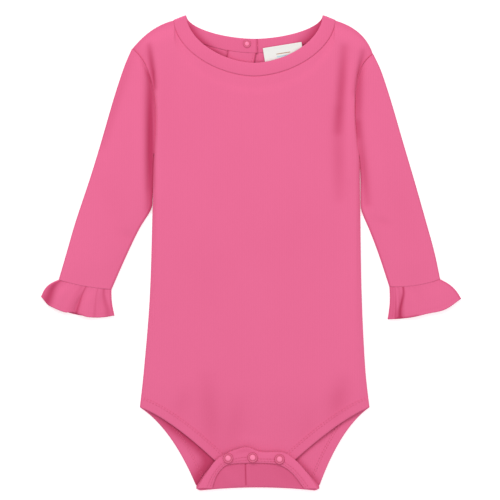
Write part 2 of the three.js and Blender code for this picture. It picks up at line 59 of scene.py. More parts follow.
KNIT = 1.0  # thickness of the knit
TRIM = 0.9  # thickness of the cuffs and of the flap's band
BACK_Z = 0.55  # middle of the back's cloth
FRONT_Z = 1.75  # middle of the front's cloth at its edges
FLAP_Z = 3.75  # middle of the flap's cloth
LINER_Z = 1.9  # middle of the placket and the label, on the inside of the back


class Slot(Enum):
    """Names of material slots, passed to the pieces but not used."""

    KNIT = "knit"
    LABEL = "label"
    SNAP = "snap"


def lerp(a: float, b: float, share: float) -> float:
    """Value a share of the way from a to b."""
    return a + (b - a) * share


def smooth(value: float, low: float, high: float) -> float:
    """Smooth step from 0 at low to 1 at high."""
    share = min(1.0, max(0.0, (value - low) / (high - low)))
    return share * share * (3 - 2 * share)


def bell(distance: float, half: float) -> float:
    """Soft bump that is 1 at no distance and fades away past its half width."""
    return math.exp(-((distance / half) ** 2))


def arch(share: float) -> float:
    """Half a sine wave: 0 at both ends of a share and 1 in its middle."""
    return math.sin(math.pi * share)


def bowed(start: Sequence[float], bow: Sequence[float], end: Sequence[float], share: float) -> Vector:
    """Point on a quadratic curve that is pulled towards a bow point.

    Args:
        start: First end of the curve.
        bow: Point that the curve leans towards.
        end: Last end of the curve.
        share: Place along the curve, from 0 to 1.

    Returns:
        The point, in two dimensions.
    """
    first, middle, last = (Vector(point[:2]) for point in (start, bow, end))
    return first.lerp(middle, share).lerp(middle.lerp(last, share), share)


def spline(rows: Sequence[Sequence[float]], share: float) -> list[float]:
    """Smooth curve through the rows of a table.

    Args:
        rows: Rows of equal length.
        share: Place down the table, from 0 to 1.

    Returns:
        One value for each column.
    """
    along = min(max(share, 0.0), 1.0) * (len(rows) - 1)
    low = min(int(along), len(rows) - 2)
    part = along - low
    picks = [rows[min(max(low + step, 0), len(rows) - 1)] for step in (-1, 0, 1, 2)]
    values = []
    for a, b, c, d in zip(*picks):
        slope_b, slope_c = (c - a) / 2, (d - b) / 2
        cube, square = part**3, part**2
        values.append(
            b * (2 * cube - 3 * square + 1) + slope_b * (cube - 2 * square + part)
            + c * (3 * square - 2 * cube) + slope_c * (cube - square)
        )
    return values


@dataclass(frozen=True)
class GarmentFrame:
    """Places the garment's own millimetres in the shared frame."""

    snap_node: str = "crotch_snap_middle"
    snap_x: float = -1.7
    snap_y: float = -188.3

    def shift(self) -> Vector:
        """Distance from the garment's centre line to the shared origin, in metres."""
        low, high = (Vector(corner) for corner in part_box(self.snap_node))
        middle = (low + high) / 2
        return Vector((middle.x - self.snap_x * MM, middle.y - self.snap_y * MM, 0))


SHIFT = GarmentFrame().shift()


def metres(point: Vector) -> Vector:
    """A point in garment millimetres as a point in the shared frame."""
    return Vector((point.x * MM, point.y * MM, point.z * MM)) + SHIFT


# ---------------------------------------------------------------- shader building


class Value:
    """A shader socket on which arithmetic adds Math nodes."""

    def __init__(self, shader: "Shader", socket: bpy.types.NodeSocket) -> None:
        """Wraps a socket of a shader."""
        self.shader = shader
        self.socket = socket

    def combined(self, operation: str, first: object, second: object) -> "Value":
        """Adds one Math node and returns its value."""
        node = self.shader.node("ShaderNodeMath", {"operation": operation}, {0: first, 1: second})
        return Value(self.shader, node.outputs[0])

    def __add__(self, other: object) -> "Value":
        """Sum."""
        return self.combined("ADD", self, other)

    __radd__ = __add__

    def __mul__(self, other: object) -> "Value":
        """Product."""
        return self.combined("MULTIPLY", self, other)

    __rmul__ = __mul__

    def __sub__(self, other: object) -> "Value":
        """Difference."""
        return self.combined("SUBTRACT", self, other)

    def __rsub__(self, other: object) -> "Value":
        """Difference, the other way round."""
        return self.combined("SUBTRACT", other, self)


class Shader:
    """Node tree of one material."""

    def __init__(self, name: str) -> None:
        """Starts a material with a Principled shader."""
        self.material = bpy.data.materials.new(name)
        self.material.use_nodes = True
        self.tree = self.material.node_tree
        self.surface = next(n for n in self.tree.nodes if n.type == "BSDF_PRINCIPLED")

    def node(self, kind: str, settings: dict[str, object], inputs: dict[object, object]) -> bpy.types.Node:
        """Adds a node.

        Args:
            kind: The node's type.
            settings: Properties that are set before its sockets.
            inputs: Numbers, colours or links for its sockets.

        Returns:
            The new node.
        """
        made = self.tree.nodes.new(kind)
        for key, value in settings.items():
            setattr(made, key, value)
        self.feed(made, inputs)
        return made

    def feed(self, node: bpy.types.Node, inputs: dict[object, object]) -> None:
        """Sets or links the sockets of a node."""
        for key, value in inputs.items():
            source = value.socket if isinstance(value, Value) else value
            if isinstance(source, bpy.types.NodeSocket):
                self.tree.links.new(source, node.inputs[key])
            else:
                node.inputs[key].default_value = source

    def value(self, kind: str, settings: dict[str, object], inputs: dict[object, object],
              output: int = 0) -> Value:
        """Adds a node and wraps one of its outputs."""
        return Value(self, self.node(kind, settings, inputs).outputs[output])

    def place(self, scale: tuple[float, float, float]) -> Value:
        """Object coordinates, scaled."""
        source = self.node("ShaderNodeTexCoord", {}, {}).outputs["Object"]
        return self.value("ShaderNodeMapping", {}, {"Vector": source, "Scale": scale})

    def blend(self, factor: object, first: object, second: object) -> Value:
        """Mixes two colours."""
        inputs = {0: factor, 6: first, 7: second}
        return self.value("ShaderNodeMix", {"data_type": "RGBA"}, inputs, 2)

    def bump(self, height: Value, strength: float, distance: float) -> None:
        """Feeds a height to the surface's normal."""
        inputs = {"Height": height, "Strength": strength, "Distance": distance}
        node = self.node("ShaderNodeBump", {}, inputs)
        self.feed(self.surface, {"Normal": node.outputs[0]})


@dataclass(frozen=True)
class KnitCotton:
    """Fine cotton interlock: narrow ribs, soft nap, and painted shade in its creases."""

    name: str = "pink_cotton_knit"
    # The cloth's colour where light falls (lit), and the same cloth painted in shade (deep).
    lit: tuple[float, float, float, float] = (0.80, 0.145, 0.30, 1)
    deep: tuple[float, float, float, float] = (0.50, 0.038, 0.115, 1)
    rib_scale: tuple[float, float, float] = (145, 87, 145)
    grain_scale: tuple[float, float, float] = (1500, 1100, 1500)
    cloud_scale: tuple[float, float, float] = (16, 12, 16)
    roughness: float = 0.84

    def material(self) -> bpy.types.Material:
        """Builds the cloth's material.

        Returns:
            The material, which reads the mesh attribute `tone` for the shade painted in its creases and
            hidden parts.
        """
        shader = Shader(self.name)
        ribs = shader.place(self.rib_scale)
        rib = shader.value("ShaderNodeTexWave", {"bands_direction": "X"}, {
            "Vector": ribs, "Scale": 1.0, "Distortion": 0.6, "Detail": 2.0, "Detail Scale": 3.0}, 1)
        grain = shader.value("ShaderNodeTexNoise", {}, {
            "Vector": shader.place(self.grain_scale), "Scale": 1.0, "Detail": 3.0}, 0)
        cloud = shader.value("ShaderNodeTexNoise", {}, {
            "Vector": shader.place(self.cloud_scale), "Scale": 1.0, "Detail": 3.0}, 0)
        tone = shader.value("ShaderNodeAttribute", {"attribute_name": "tone"}, {}, 2)
        # Painted shade: the tone, varied a little by the knit's ribs, grain and mottling, mixes the lit
        # colour towards the deep one.
        shade = tone * (0.9 + rib * 0.04 + grain * 0.05 + (cloud - 0.5) * 0.1)
        shader.feed(shader.surface, {
            "Base Color": shader.blend(shade, self.deep, self.lit),
            "Roughness": self.roughness + grain * 0.1,
            "Sheen Weight": 0.22,
            "Sheen Roughness": 0.45,
            "Sheen Tint": (1.0, 0.72, 0.82, 1),
            "Specular IOR Level": 0.22,
        })
        shader.bump(rib * 0.6 + grain, 0.35, 0.00022)
        return shader.material


@dataclass(frozen=True)
class SewingThread:
    """Twisted polyester thread, a little deeper than the cloth, with painted shade in the groove between
    the turns of its twist.
    """

    name: str = "pink_thread"
    colour: tuple[float, float, float, float] = (0.78, 0.13, 0.275, 1)
    shade: tuple[float, float, float, float] = (0.66, 0.09, 0.205, 1)

    def material(self) -> bpy.types.Material:
        """Builds the thread's material."""
        shader = Shader(self.name)
        twist = shader.value("ShaderNodeTexWave", {"bands_direction": "DIAGONAL"}, {
            "Vector": shader.place((900, 900, 900)), "Scale": 1.0, "Distortion": 1.0}, 1)
        shader.feed(shader.surface, {
            "Base Color": shader.blend(twist, self.shade, self.colour),
            "Roughness": 0.62 + twist * 0.1,
            "Sheen Weight": 0.1,
        })
        shader.bump(twist, 0.3, 0.0001)
        return shader.material


@dataclass(frozen=True)
class SnapEnamel:
    """Enamelled cap of a snap, with a faint orange-peel surface and painted shade in its groove."""

    name: str = "pink_snap_enamel"
    colour: tuple[float, float, float, float] = (0.99, 0.23, 0.41, 1)
    # The enamel painted in shade, for the cap's groove and its outer edge.
    groove: tuple[float, float, float, float] = (0.48, 0.035, 0.11, 1)

    def material(self) -> bpy.types.Material:
        """Builds the enamel's material."""
        shader = Shader(self.name)
        peel = shader.value("ShaderNodeTexNoise", {}, {
            "Vector": shader.place((700, 700, 700)), "Scale": 1.0, "Detail": 2.0}, 0)
        tone = shader.value("ShaderNodeAttribute", {"attribute_name": "tone"}, {}, 2)
        shader.feed(shader.surface, {
            "Base Color": shader.blend(tone * (0.94 + peel * 0.1), self.groove, self.colour),
            "Roughness": 0.38 + peel * 0.12,
            "Specular IOR Level": 0.35,
        })
        shader.bump(peel, 0.15, 0.0001)
        return shader.material


@dataclass(frozen=True)
class WovenSatin:
    """White woven label with plain generic bars in its middle and no lettering."""

    name: str = "woven_label"
    white: tuple[float, float, float, float] = (0.80, 0.79, 0.76, 1)
    tan: tuple[float, float, float, float] = (0.45, 0.24, 0.13, 1)
    sky: tuple[float, float, float, float] = (0.42, 0.66, 0.74, 1)

    def material(self) -> bpy.types.Material:
        """Builds the label's material, with its bars on the label's own UV map."""
        shader = Shader(self.name)
        uv = shader.value("ShaderNodeUVMap", {"uv_map": "label"}, {})
        split = shader.node("ShaderNodeSeparateXYZ", {}, {0: uv})
        across, up = Value(shader, split.outputs[0]), Value(shader, split.outputs[1])

        def bar(source: Value, low: float, high: float) -> Value:
            """1 between two shares of the label, and 0 outside them."""
            over = source.combined("GREATER_THAN", source, low)
            return over * source.combined("LESS_THAN", source, high)

        width = bar(across, 0.32, 0.68)
        tan = width * (bar(up, 0.70, 0.73) + bar(up, 0.40, 0.43))
        sky = width * (bar(up, 0.60, 0.64) + bar(up, 0.50, 0.54))
        weave = shader.value("ShaderNodeTexWave", {"bands_direction": "Y"}, {
            "Vector": shader.place((420, 420, 420)), "Scale": 1.0, "Distortion": 0.3}, 1)
        shader.feed(shader.surface, {
            "Base Color": shader.blend(tan, shader.blend(sky, self.white, self.sky), self.tan),
            "Roughness": 0.5 + weave * 0.15,
        })
        shader.bump(weave, 0.4, 0.0001)
        return shader.material


@dataclass(frozen=True)
class StudioWhite:
    """Plain white paper floor."""

    name: str = "studio_white"
    glow: float = 0.42

    def material(self) -> bpy.types.Material:
        """Builds the floor's material."""
        shader = Shader(self.name)
        shader.feed(shader.surface, {
            "Base Color": (0.86, 0.86, 0.86, 1),
            "Roughness": 0.9,
            "Emission Color": (1, 1, 1, 1),
            "Emission Strength": self.glow,
        })
        return shader.material


@dataclass(frozen=True)
class Wardrobe:
    """The finished materials that the pieces share."""

    knit: bpy.types.Material
    thread: bpy.types.Material
    snap: bpy.types.Material
    label: bpy.types.Material

    @classmethod
    def stocked(cls) -> "Wardrobe":
        """Builds every finish once."""
        finishes = (KnitCotton(), SewingThread(), SnapEnamel(), WovenSatin())
        return cls(*(finish.material() for finish in finishes))


# ---------------------------------------------------------------- cloth helpers


@dataclass(frozen=True)
class Crease:
    """A soft trough or ridge along a line, in the garment's millimetres."""

    start: tuple[float, float]
    end: tuple[float, float]
    half: float
    height: float
    # Painted shade along the crease; a negative value paints it lighter.
    shade: float = 0.0
    end_strength: float = 0.35
    run_in: float = 0.08

    def weight(self, x: float, y: float) -> float:
        """How strongly the crease acts at a place, from 0 to 1, fading at its two ends."""
        first, last, place = Vector(self.start), Vector(self.end), Vector((x, y))
        line = last - first
        held = min(1.0, max(0.0, (place - first).dot(line) / line.length_squared))
        distance = (first + line * held - place).length
        fade = lerp(self.end_strength, 1, arch(lerp(self.run_in, 1 - self.run_in, held)))
        return fade * bell(distance, self.half)


def creased(creases: Sequence[Crease], x: float, y: float) -> tuple[float, float]:
    """Height and shade that a list of creases adds at a place."""
    weights = [(crease, crease.weight(x, y)) for crease in creases]
    height = sum(crease.height * weight for crease, weight in weights)
    shade = sum(crease.shade * weight for crease, weight in weights)
    return height, shade


@dataclass(frozen=True)
class ClothPoint:
    """A place on a cloth surface, with the tone of its painted light and shade: 1 is lit and 0 is deep
    shade.
    """

    x: float
    y: float
    z: float
    tone: float = 1.0


class ClothPiece:
    """A cloth surface that becomes a thin shell."""

    weld = 0.00001
    even_shading = 90

    def __init__(self, name: str, cols: int, rows: int, surface: Callable[[float, float], ClothPoint],
                 wall: float = KNIT, ringed: bool = False) -> None:
        """Lays a grid on a surface and gives it a wall.

        Args:
            name: Name of the piece.
            cols: Steps across the surface.
            rows: Steps along the surface.
            surface: Gives the cloth point for two shares from 0 to 1.
            wall: Thickness of the cloth.
            ringed: Whether the surface closes on itself across.
        """
        shape = bmesh.new()
        bmesh.ops.create_grid(shape, x_segments=cols, y_segments=rows, size=0.5)
        # Painted light and shade of each point, which the materials read as `tone`.
        tone = shape.verts.layers.float.new("tone")
        uv = shape.loops.layers.uv.new("label")
        for face in shape.faces:
            for loop in face.loops:
                loop[uv].uv = (loop.vert.co.x + 0.5, loop.vert.co.y + 0.5)
        for vert in shape.verts:
            point = surface(vert.co.x + 0.5, vert.co.y + 0.5)
            vert[tone] = point.tone
            vert.co = metres(Vector((point.x, point.y, point.z)))
        if ringed:
            bmesh.ops.remove_doubles(shape, verts=shape.verts, dist=self.weld)
            bmesh.ops.recalc_face_normals(shape, faces=shape.faces)
        self.cut = sum(face.calc_area() for face in shape.faces)
        self.obj = placed(name, shape)
        self.stitches: list[bpy.types.Object] = []
        solidify = self.obj.modifiers.new("wall", "SOLIDIFY")
        solidify.thickness = wall * MM
        solidify.offset = 0.0
        self.obj.modifiers.new("even_shading", "WEIGHTED_NORMAL").weight = self.even_shading

    def dress(self, material: bpy.types.Material, slot: Slot, *nodes: str) -> None:
        """Gives the piece its finish and its place in the frame."""
        self.obj.data.materials.append(material)
        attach(self.obj, BODY)
        if nodes:
            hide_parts(*nodes)
        log.info("%s: %d faces", self.obj.name, len(self.obj.data.polygons))

    def declare(self, flat: tuple[float, float]) -> None:
        """Works out the smaller of the piece's cut area and its flat size, given in millimetres, and does
        not use it.
        """
        width, length = flat[0] * MM, flat[1] * MM
        area = min(self.cut, width * length)


def placed(name: str, shape: bmesh.types.BMesh) -> bpy.types.Object:
    """Turns a finished shape into a smooth object of the scene, and frees the shape."""
    mesh = bpy.data.meshes.new(name)
    shape.to_mesh(mesh)
    shape.free()
    mesh.polygons.foreach_set("use_smooth", [True] * len(mesh.polygons))
    obj = bpy.data.objects.new(name, mesh)
    bpy.context.scene.collection.objects.link(obj)
    return obj


class Footing:
    """Finds how high pieces lie, so that stitches and snaps rest on them."""

    above = 30.0

    def __init__(self, objects: Sequence[bpy.types.Object]) -> None:
        """Reads the finished meshes of some pieces."""
        bpy.context.view_layer.update()
        graph = bpy.context.evaluated_depsgraph_get()
        self.trees = [BVHTree.FromObject(obj, graph) for obj in objects]

    def top(self, x: float, y: float) -> float:
        """Highest cloth at a place.

        Args:
            x: Place across, in millimetres.
            y: Place along, in millimetres.

        Returns:
            The height in millimetres, or that of the back's inside where nothing is found.
        """
        start = metres(Vector((x, y, self.above)))
        hits = [tree.ray_cast(start, Vector((0, 0, -1)))[0] for tree in self.trees]
        heights = [hit.z / MM for hit in hits if hit is not None]
        return max(heights) if heights else BACK_Z + KNIT / 2


@dataclass(frozen=True)
class Stitching:
    """A run of equal stitches along a line on the cloth."""

    name: str
    pitch: float = 2.9
    length: float = 2.3
    width: float = 0.55
    proud: float = 0.05

    def sew(self, lines: Sequence[Sequence[Vector]], footing: Footing,
            material: bpy.types.Material) -> bpy.types.Object:
        """Lays stitches along lines.

        Args:
            lines: Lines of points in garment millimetres; their heights are not used.
            footing: Cloth that the stitches lie on.
            material: Finish of the thread.

        Returns:
            The stitches, joined.
        """
        shape = bmesh.new()
        size = Matrix.Diagonal((self.length / 2 * MM, self.width / 2 * MM, self.width / 2 * MM, 1))
        for line in lines:
            for middle, way in self._stations(line):
                z = footing.top(middle.x, middle.y) + self.proud
                turn = Matrix.Rotation(math.atan2(way.y, way.x), 4, "Z")
                spot = Matrix.Translation(metres(Vector((middle.x, middle.y, z))))
                bmesh.ops.create_icosphere(shape, subdivisions=1, radius=1, matrix=spot @ turn @ size)
        obj = placed(self.name, shape)
        obj.data.materials.append(material)
        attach(obj, BODY)
        log.info("%s: %d faces", obj.name, len(obj.data.polygons))
        return obj

    def _stations(self, line: Sequence[Vector]) -> list[tuple[Vector, Vector]]:
        """Middles and directions of the stitches along a line."""
        stations = []
        run = self.pitch / 2
        for first, last in zip(line, line[1:]):
            step = last.xy - first.xy
            while run <= step.length:
                stations.append((first.xy + step.normalized() * run, step.normalized()))
                run += self.pitch
            run -= step.length
        return stations


def offset_line(line: Sequence[Vector], distance: float) -> list[Vector]:
    """A line moved sideways, to the left of its direction when the distance is positive."""
    moved = []
    for index, point in enumerate(line):
        before, after = line[max(index - 1, 0)], line[min(index + 1, len(line) - 1)]
        way = (after.xy - before.xy).normalized()
        moved.append(Vector((point.x - way.y * distance, point.y + way.x * distance, 0)))
    return moved


def sampled(curve: Callable[[float], Vector], count: int) -> list[Vector]:
    """Even samples of a curve."""
    return [curve(index / count) for index in range(count + 1)]


def nearest(x: float, y: float, line: Sequence[Vector]) -> float:
    """Distance from a place to the nearest point of a line."""
    return min((Vector((x, y)) - point).length for point in line)


# ---------------------------------------------------------------- the garment's cut


@dataclass(frozen=True)
class NeckOval:
    """One of the two ovals of the neck opening."""

    half: float
    tip_y: float
    front: float
    back: float
    squareness: float = 1.8

    def point(self, angle: float) -> Vector:
        """Place at an angle: 0 to pi is the back half, pi to two pi the front."""
        power = 2 / self.squareness
        across, down = math.cos(angle), math.sin(angle)
        depth = self.front if down < 0 else self.back
        x = self.half * math.copysign(abs(across) ** power, across)
        return Vector((x, self.tip_y - depth * abs(down) ** power))

    def back_y(self, x: float) -> float:
        """Height on the page of the back half at a place across it."""
        share = abs(x) / self.half
        return self.tip_y - self.back * (1 - share**self.squareness) ** (1 / self.squareness)


NECK_EDGE = NeckOval(half=62.6, tip_y=218, front=43, back=21)
NECK_SEAM = NeckOval(half=74.2, tip_y=213.8, front=51, back=30)


@dataclass(frozen=True)
class NeckShadow:
    """Shade that the front's neckband lays on the cloth just behind it."""

    lowest: float = 120
    opening: float = 50
    middle_reach: float = 1.1
    left_reach: float = 4.4
    right_reach: float = 6.5
    middle_strength: float = 0.4
    sides: tuple[float, float] = (0.15, 0.7)
    left_tip: tuple[float, float] = (206, 219)

    def at(self, x: float, y: float) -> float:
        """Strength of the shade at a place, from 0 to 1."""
        if y < self.lowest:
            return 0.0
        power = NECK_EDGE.squareness
        across = abs(x) / NECK_EDGE.half
        down = max(0.0, NECK_EDGE.tip_y - y) / NECK_EDGE.front
        gap = self.opening * max(0.0, 1 - (across**power + down**power) ** (1 / power))
        side = smooth(across, *self.sides)
        reach = lerp(self.middle_reach, self.left_reach if x < 0 else self.right_reach, side)
        shade = lerp(self.middle_strength, 1.0, side) * bell(gap, reach)
        return shade * (1 - smooth(y, *self.left_tip)) if x < 0 else shade


@dataclass(frozen=True)
class NeckRise:
    """Height of the front's neck over the placket and the label."""

    height: float = 1.6
    sides: tuple[float, float] = (52, 76)
    start: tuple[float, float] = (100, 128)

    def at(self, x: float, y: float) -> float:
        """Rise at a place."""
        return self.height * (1 - smooth(abs(x), *self.sides)) * smooth(y, *self.start)


NECK_SHADOW = NeckShadow()
INSIDE_NECK_SHADE = 0.8
NECK_RISE = NeckRise()


@dataclass(frozen=True)
class BodyCut:
    """Outline shared by the front and the back."""

    shoulder_left: tuple[float, ...] = (-112.3, 187.8)
    shoulder_right: tuple[float, ...] = (109.0, 182.6)
    shoulder_bow_left: tuple[float, ...] = (-95, 209)
    shoulder_bow_right: tuple[float, ...] = (101.5, 206)
    armhole_left: tuple[float, ...] = (-92.8, 88)
    armhole_right: tuple[float, ...] = (96.6, 88)
    armhole_bow_left: tuple[float, ...] = (-83.9, 165)
    armhole_bow_right: tuple[float, ...] = (81.9, 165)
    sides: tuple[tuple[float, ...], ...] = (
        (-105.4, 105.8), (-101.4, 101.8), (-96.2, 98.6), (-93.7, 97.2), (-92.8, 96.6))
    side_heights: tuple[float, ...] = (-142, -105, -40, 40, 88)
    side_share: float = 0.68
    shoulder_share: float = 1 / 6
    shoulder_fade: float = 1.5
    seam_clear: float = 0.02

    def hip(self, right: bool) -> tuple[float, float]:
        """Lower end of a side seam."""
        return self.sides[0][1 if right else 0], self.side_heights[0]

    def side(self, right: bool, share: float) -> Vector:
        """Side seam and armhole, from hip to shoulder."""
        if share <= self.side_share:
            rows = [(*xs, y) for xs, y in zip(self.sides, self.side_heights)]
            values = spline(rows, share / self.side_share)
            return Vector((values[1 if right else 0], values[2]))
        up = (share - self.side_share) / (1 - self.side_share)
        if right:
            return bowed(self.armhole_right, self.armhole_bow_right, self.shoulder_right, up)
        return bowed(self.armhole_left, self.armhole_bow_left, self.shoulder_left, up)

    def top(self, depth: float, share: float) -> Vector:
        """Shoulders and neck seam, from left to right."""
        deep = depth + self.seam_clear
        oval = NeckOval(NECK_SEAM.half + self.seam_clear, NECK_SEAM.tip_y, deep, deep)
        if share < self.shoulder_share:
            part = share / self.shoulder_share
            return bowed(self.shoulder_left, self.shoulder_bow_left, oval.point(math.pi), part)
        if share > 1 - self.shoulder_share:
            part = (1 - share) / self.shoulder_share
            return bowed(self.shoulder_right, self.shoulder_bow_right, oval.point(0.0), part)
        around = (share - self.shoulder_share) / (1 - 2 * self.shoulder_share)
        return oval.point(math.pi * (1 - around))

    def patch(self, bottom: Callable[[float], Vector], depth: float, u: float, v: float) -> Vector:
        """Place on a panel between its lower edge, its sides and its top.

        Args:
            bottom: The panel's lower edge, from left to right.
            depth: How far the panel's neck seam dips below the tips of the neck.
            u: Share across the panel.
            v: Share up the panel.

        Returns:
            The place, in two dimensions.
        """
        place = bottom(u).lerp(self.top(depth, u), v)
        for right, share in ((False, u), (True, 1 - u)):
            end = 1.0 if right else 0.0
            fade = max(0.0, 1 - share / self.shoulder_share) ** self.shoulder_fade
            if fade:
                straight = bottom(end).lerp(self.top(depth, end), v)
                place = place + (self.side(right, v) - straight) * fade
        return place


CUT = BodyCut()


@dataclass(frozen=True)
class LegHem:
    """Turned hem of a leg opening, with two rows of stitches."""

    width: float
    step: float
    row_gap: float = 1.6
    blend: float = 0.8
    highest: float = -120
    inner: float = 20
    far: float = 99.0

    def distance(self, x: float, y: float, legs: dict[bool, list[Vector]]) -> float:
        """Distance from a place to the nearer leg opening, or a long way above the hems."""
        if y >= self.highest or abs(x) <= self.inner:
            return self.far
        return nearest(x, y, legs[x > 0])

    def rise(self, distance: float) -> float:
        """Height of the turned cloth at a distance from the opening."""
        return self.step * (1 - smooth(distance, self.width - self.blend, self.width + self.blend))

    def rows(self, legs: dict[bool, list[Vector]]) -> list[list[Vector]]:
        """Lines of the stitches of both legs."""
        return [
            offset_line(line, -distance if right else distance)
            for right, line in legs.items()
            for distance in (self.width - self.row_gap, self.width)
        ]


def both_legs(leg: Callable[[bool, float], Vector], count: int) -> dict[bool, list[Vector]]:
    """Sampled leg openings, the left one under False and the right one under True."""
    return {right: sampled(lambda share: leg(right, share), count) for right in (False, True)}


@dataclass
class FrontPanel:
    """The front, from the leg hems to the neck seam, with its soft creases."""

    puff: float = 2.6
    puff_sides: float = 0.07
    puff_neck: float = 0.05
    puff_low: tuple[float, float] = (-178, -120)
    crease_sides: float = 0.03
    crease_low: tuple[float, float] = (-186, -160)
    hem: LegHem = LegHem(width=9.6, step=0.55)
    hem_groove: float = 1.1
    dip_shade: float = 0.14
    tab_half: float = 36.5
    tab_waist: float = 31
    tab_top: float = -191
    tab_y: float = -203
    tab_corner: float = 0.7
    leg_bows: tuple[tuple[float, float], ...] = ((-78, -152), (80, -152))
    leg_share: float = 1 / 3
    flat: tuple[float, float] = (215, 420)
    creases: list[Crease] = field(default_factory=lambda: [
        Crease((82.6, 188), (77, 112), 4.4, -1.8, 0.60),
        Crease((77, 130), (78, 52), 6.0, -0.9, 0.26),
        Crease((88, 170), (87, 70), 4.0, 0.9, -0.05),
        Crease((99.6, 185), (93, 146), 3.2, -1.0, 0.5),
        Crease((-89, 150), (-89, 50), 4.0, 0.7, -0.04),
        Crease((-96.8, 190), (-91.6, 152), 3.0, -1.6, 0.75),
        Crease((-92.6, 168), (-92.2, 60), 1.1, -0.3, 0.35),
        Crease((-78, 176), (-84, 118), 8.0, -0.5, 0.03),
        Crease((-44, -118), (-38, -176), 9.0, -0.9, 0.16),
        Crease((-62, -128), (-70, -150), 8.0, -0.6, 0.08),
        Crease((81, -122), (74, -148), 9.0, -0.9, 0.22),
        Crease((52, -150), (44, -182), 8.0, -0.5, 0.05),
        Crease((-14, -140), (-22, -180), 9.0, -0.6, 0.10),
        Crease((-14, -172), (8, -174), 3.6, 0.5, -0.03),
        Crease((-60, 20), (-30, -60), 26.0, -0.5, 0.02),
        Crease((50, 40), (30, -70), 28.0, -0.5, 0.02),
    ])

    legs: dict[bool, list[Vector]] = field(init=False)

    def __post_init__(self) -> None:
        """Samples the leg openings."""
        self.legs = both_legs(self.leg, 40)

    def leg(self, right: bool, share: float) -> Vector:
        """Leg opening, from the hip to the flap."""
        inner = (self.tab_half if right else -self.tab_half, self.tab_top)
        return bowed(CUT.hip(right), self.leg_bows[1 if right else 0], inner, share)

    def lower(self, share: float) -> Vector:
        """Lower edge, with the tab that the flap hides."""
        if share <= self.leg_share:
            return self.leg(False, share / self.leg_share)
        if share >= 1 - self.leg_share:
            return self.leg(True, (1 - share) / self.leg_share)
        across = 2 * (share - self.leg_share) / (1 - 2 * self.leg_share) - 1
        end = smooth(abs(across), self.tab_corner, 1)
        x = across * lerp(self.tab_waist, self.tab_half, end)
        return Vector((x, lerp(self.tab_y, self.tab_top, end)))

    def surface(self, u: float, v: float) -> ClothPoint:
        """Cloth point of the front."""
        x, y = CUT.patch(self.lower, NECK_SEAM.front, u, v)
        edge, neck = min(u, 1 - u), 1 - v
        gap = self.hem.distance(x, y, self.legs)
        height, shade = creased(self.creases, x, y)
        full = smooth(edge, 0, self.puff_sides) * smooth(neck, 0, self.puff_neck)
        rise = max(self.puff * full * smooth(y, *self.puff_low), NECK_RISE.at(x, y))
        rise += height * smooth(edge, 0, self.crease_sides) * smooth(y, *self.crease_low)
        dip = 0.1 * (1 - smooth(neck, 0, 0.008)) + 0.15 * (1 - smooth(edge, 0, 0.01)) * smooth(y, 60, 100)
        tone = 1.0 - shade - self.dip_shade * dip - self._edge_shade(x, y, edge, neck, gap)
        return ClothPoint(x, y, FRONT_Z + rise + self.hem.rise(gap) - dip, tone)

    def _edge_shade(self, x: float, y: float, edge: float, neck: float, gap: float) -> float:
        """Shade beside the seams, the hems and the sides.

        Args:
            x: Place across.
            y: Place along.
            edge: Share of the panel to its nearer side.
            neck: Share of the panel to its top.
            gap: Distance to the nearer leg opening.

        Returns:
            The shade that the tone loses.
        """
        groove = bell(gap - self.hem.width, self.hem_groove) * (0.5 if x > 0 else 1.0)
        sides = 0.04 * (1 - smooth(edge, 0, 0.05))
        sides += 0.22 * (1 - smooth(edge, 0, 0.008)) * (1 - smooth(y, 80, 92))
        shoulder = 0.14 * (1 - smooth(neck, 0, 0.02)) if abs(x) > NECK_SEAM.half else 0.0
        low = 0.05 * (1 - smooth(y, -190, -110))
        return 0.05 * groove + sides + shoulder + low

    def build(self, wardrobe: Wardrobe) -> ClothPiece:
        """Builds and dresses the front."""
        piece = ClothPiece("front_cloth", 150, 170, self.surface)
        piece.dress(wardrobe.knit, Slot.KNIT, "front_panel")
        stitches = Stitching("front_leg_hem_stitches")
        piece.stitches.append(stitches.sew(self.hem.rows(self.legs), Footing([piece.obj]), wardrobe.thread))
        piece.declare(self.flat)
        return piece


@dataclass(frozen=True)
class LegShade:
    """Shade inside one leg opening, under the front's hem and beside the flap."""

    hem_depth: float
    hem_reach: float
    flap_reach: float
    hem_start: tuple[float, float] = (138, 165)

    def at(self, y: float, front_gap: float, flap_gap: float) -> float:
        """Shade at two distances, that to the front's hem and that to the flap."""
        hem = bell(front_gap, self.hem_reach) * smooth(-y, *self.hem_start)
        return self.hem_depth * (hem + bell(flap_gap, self.flap_reach))


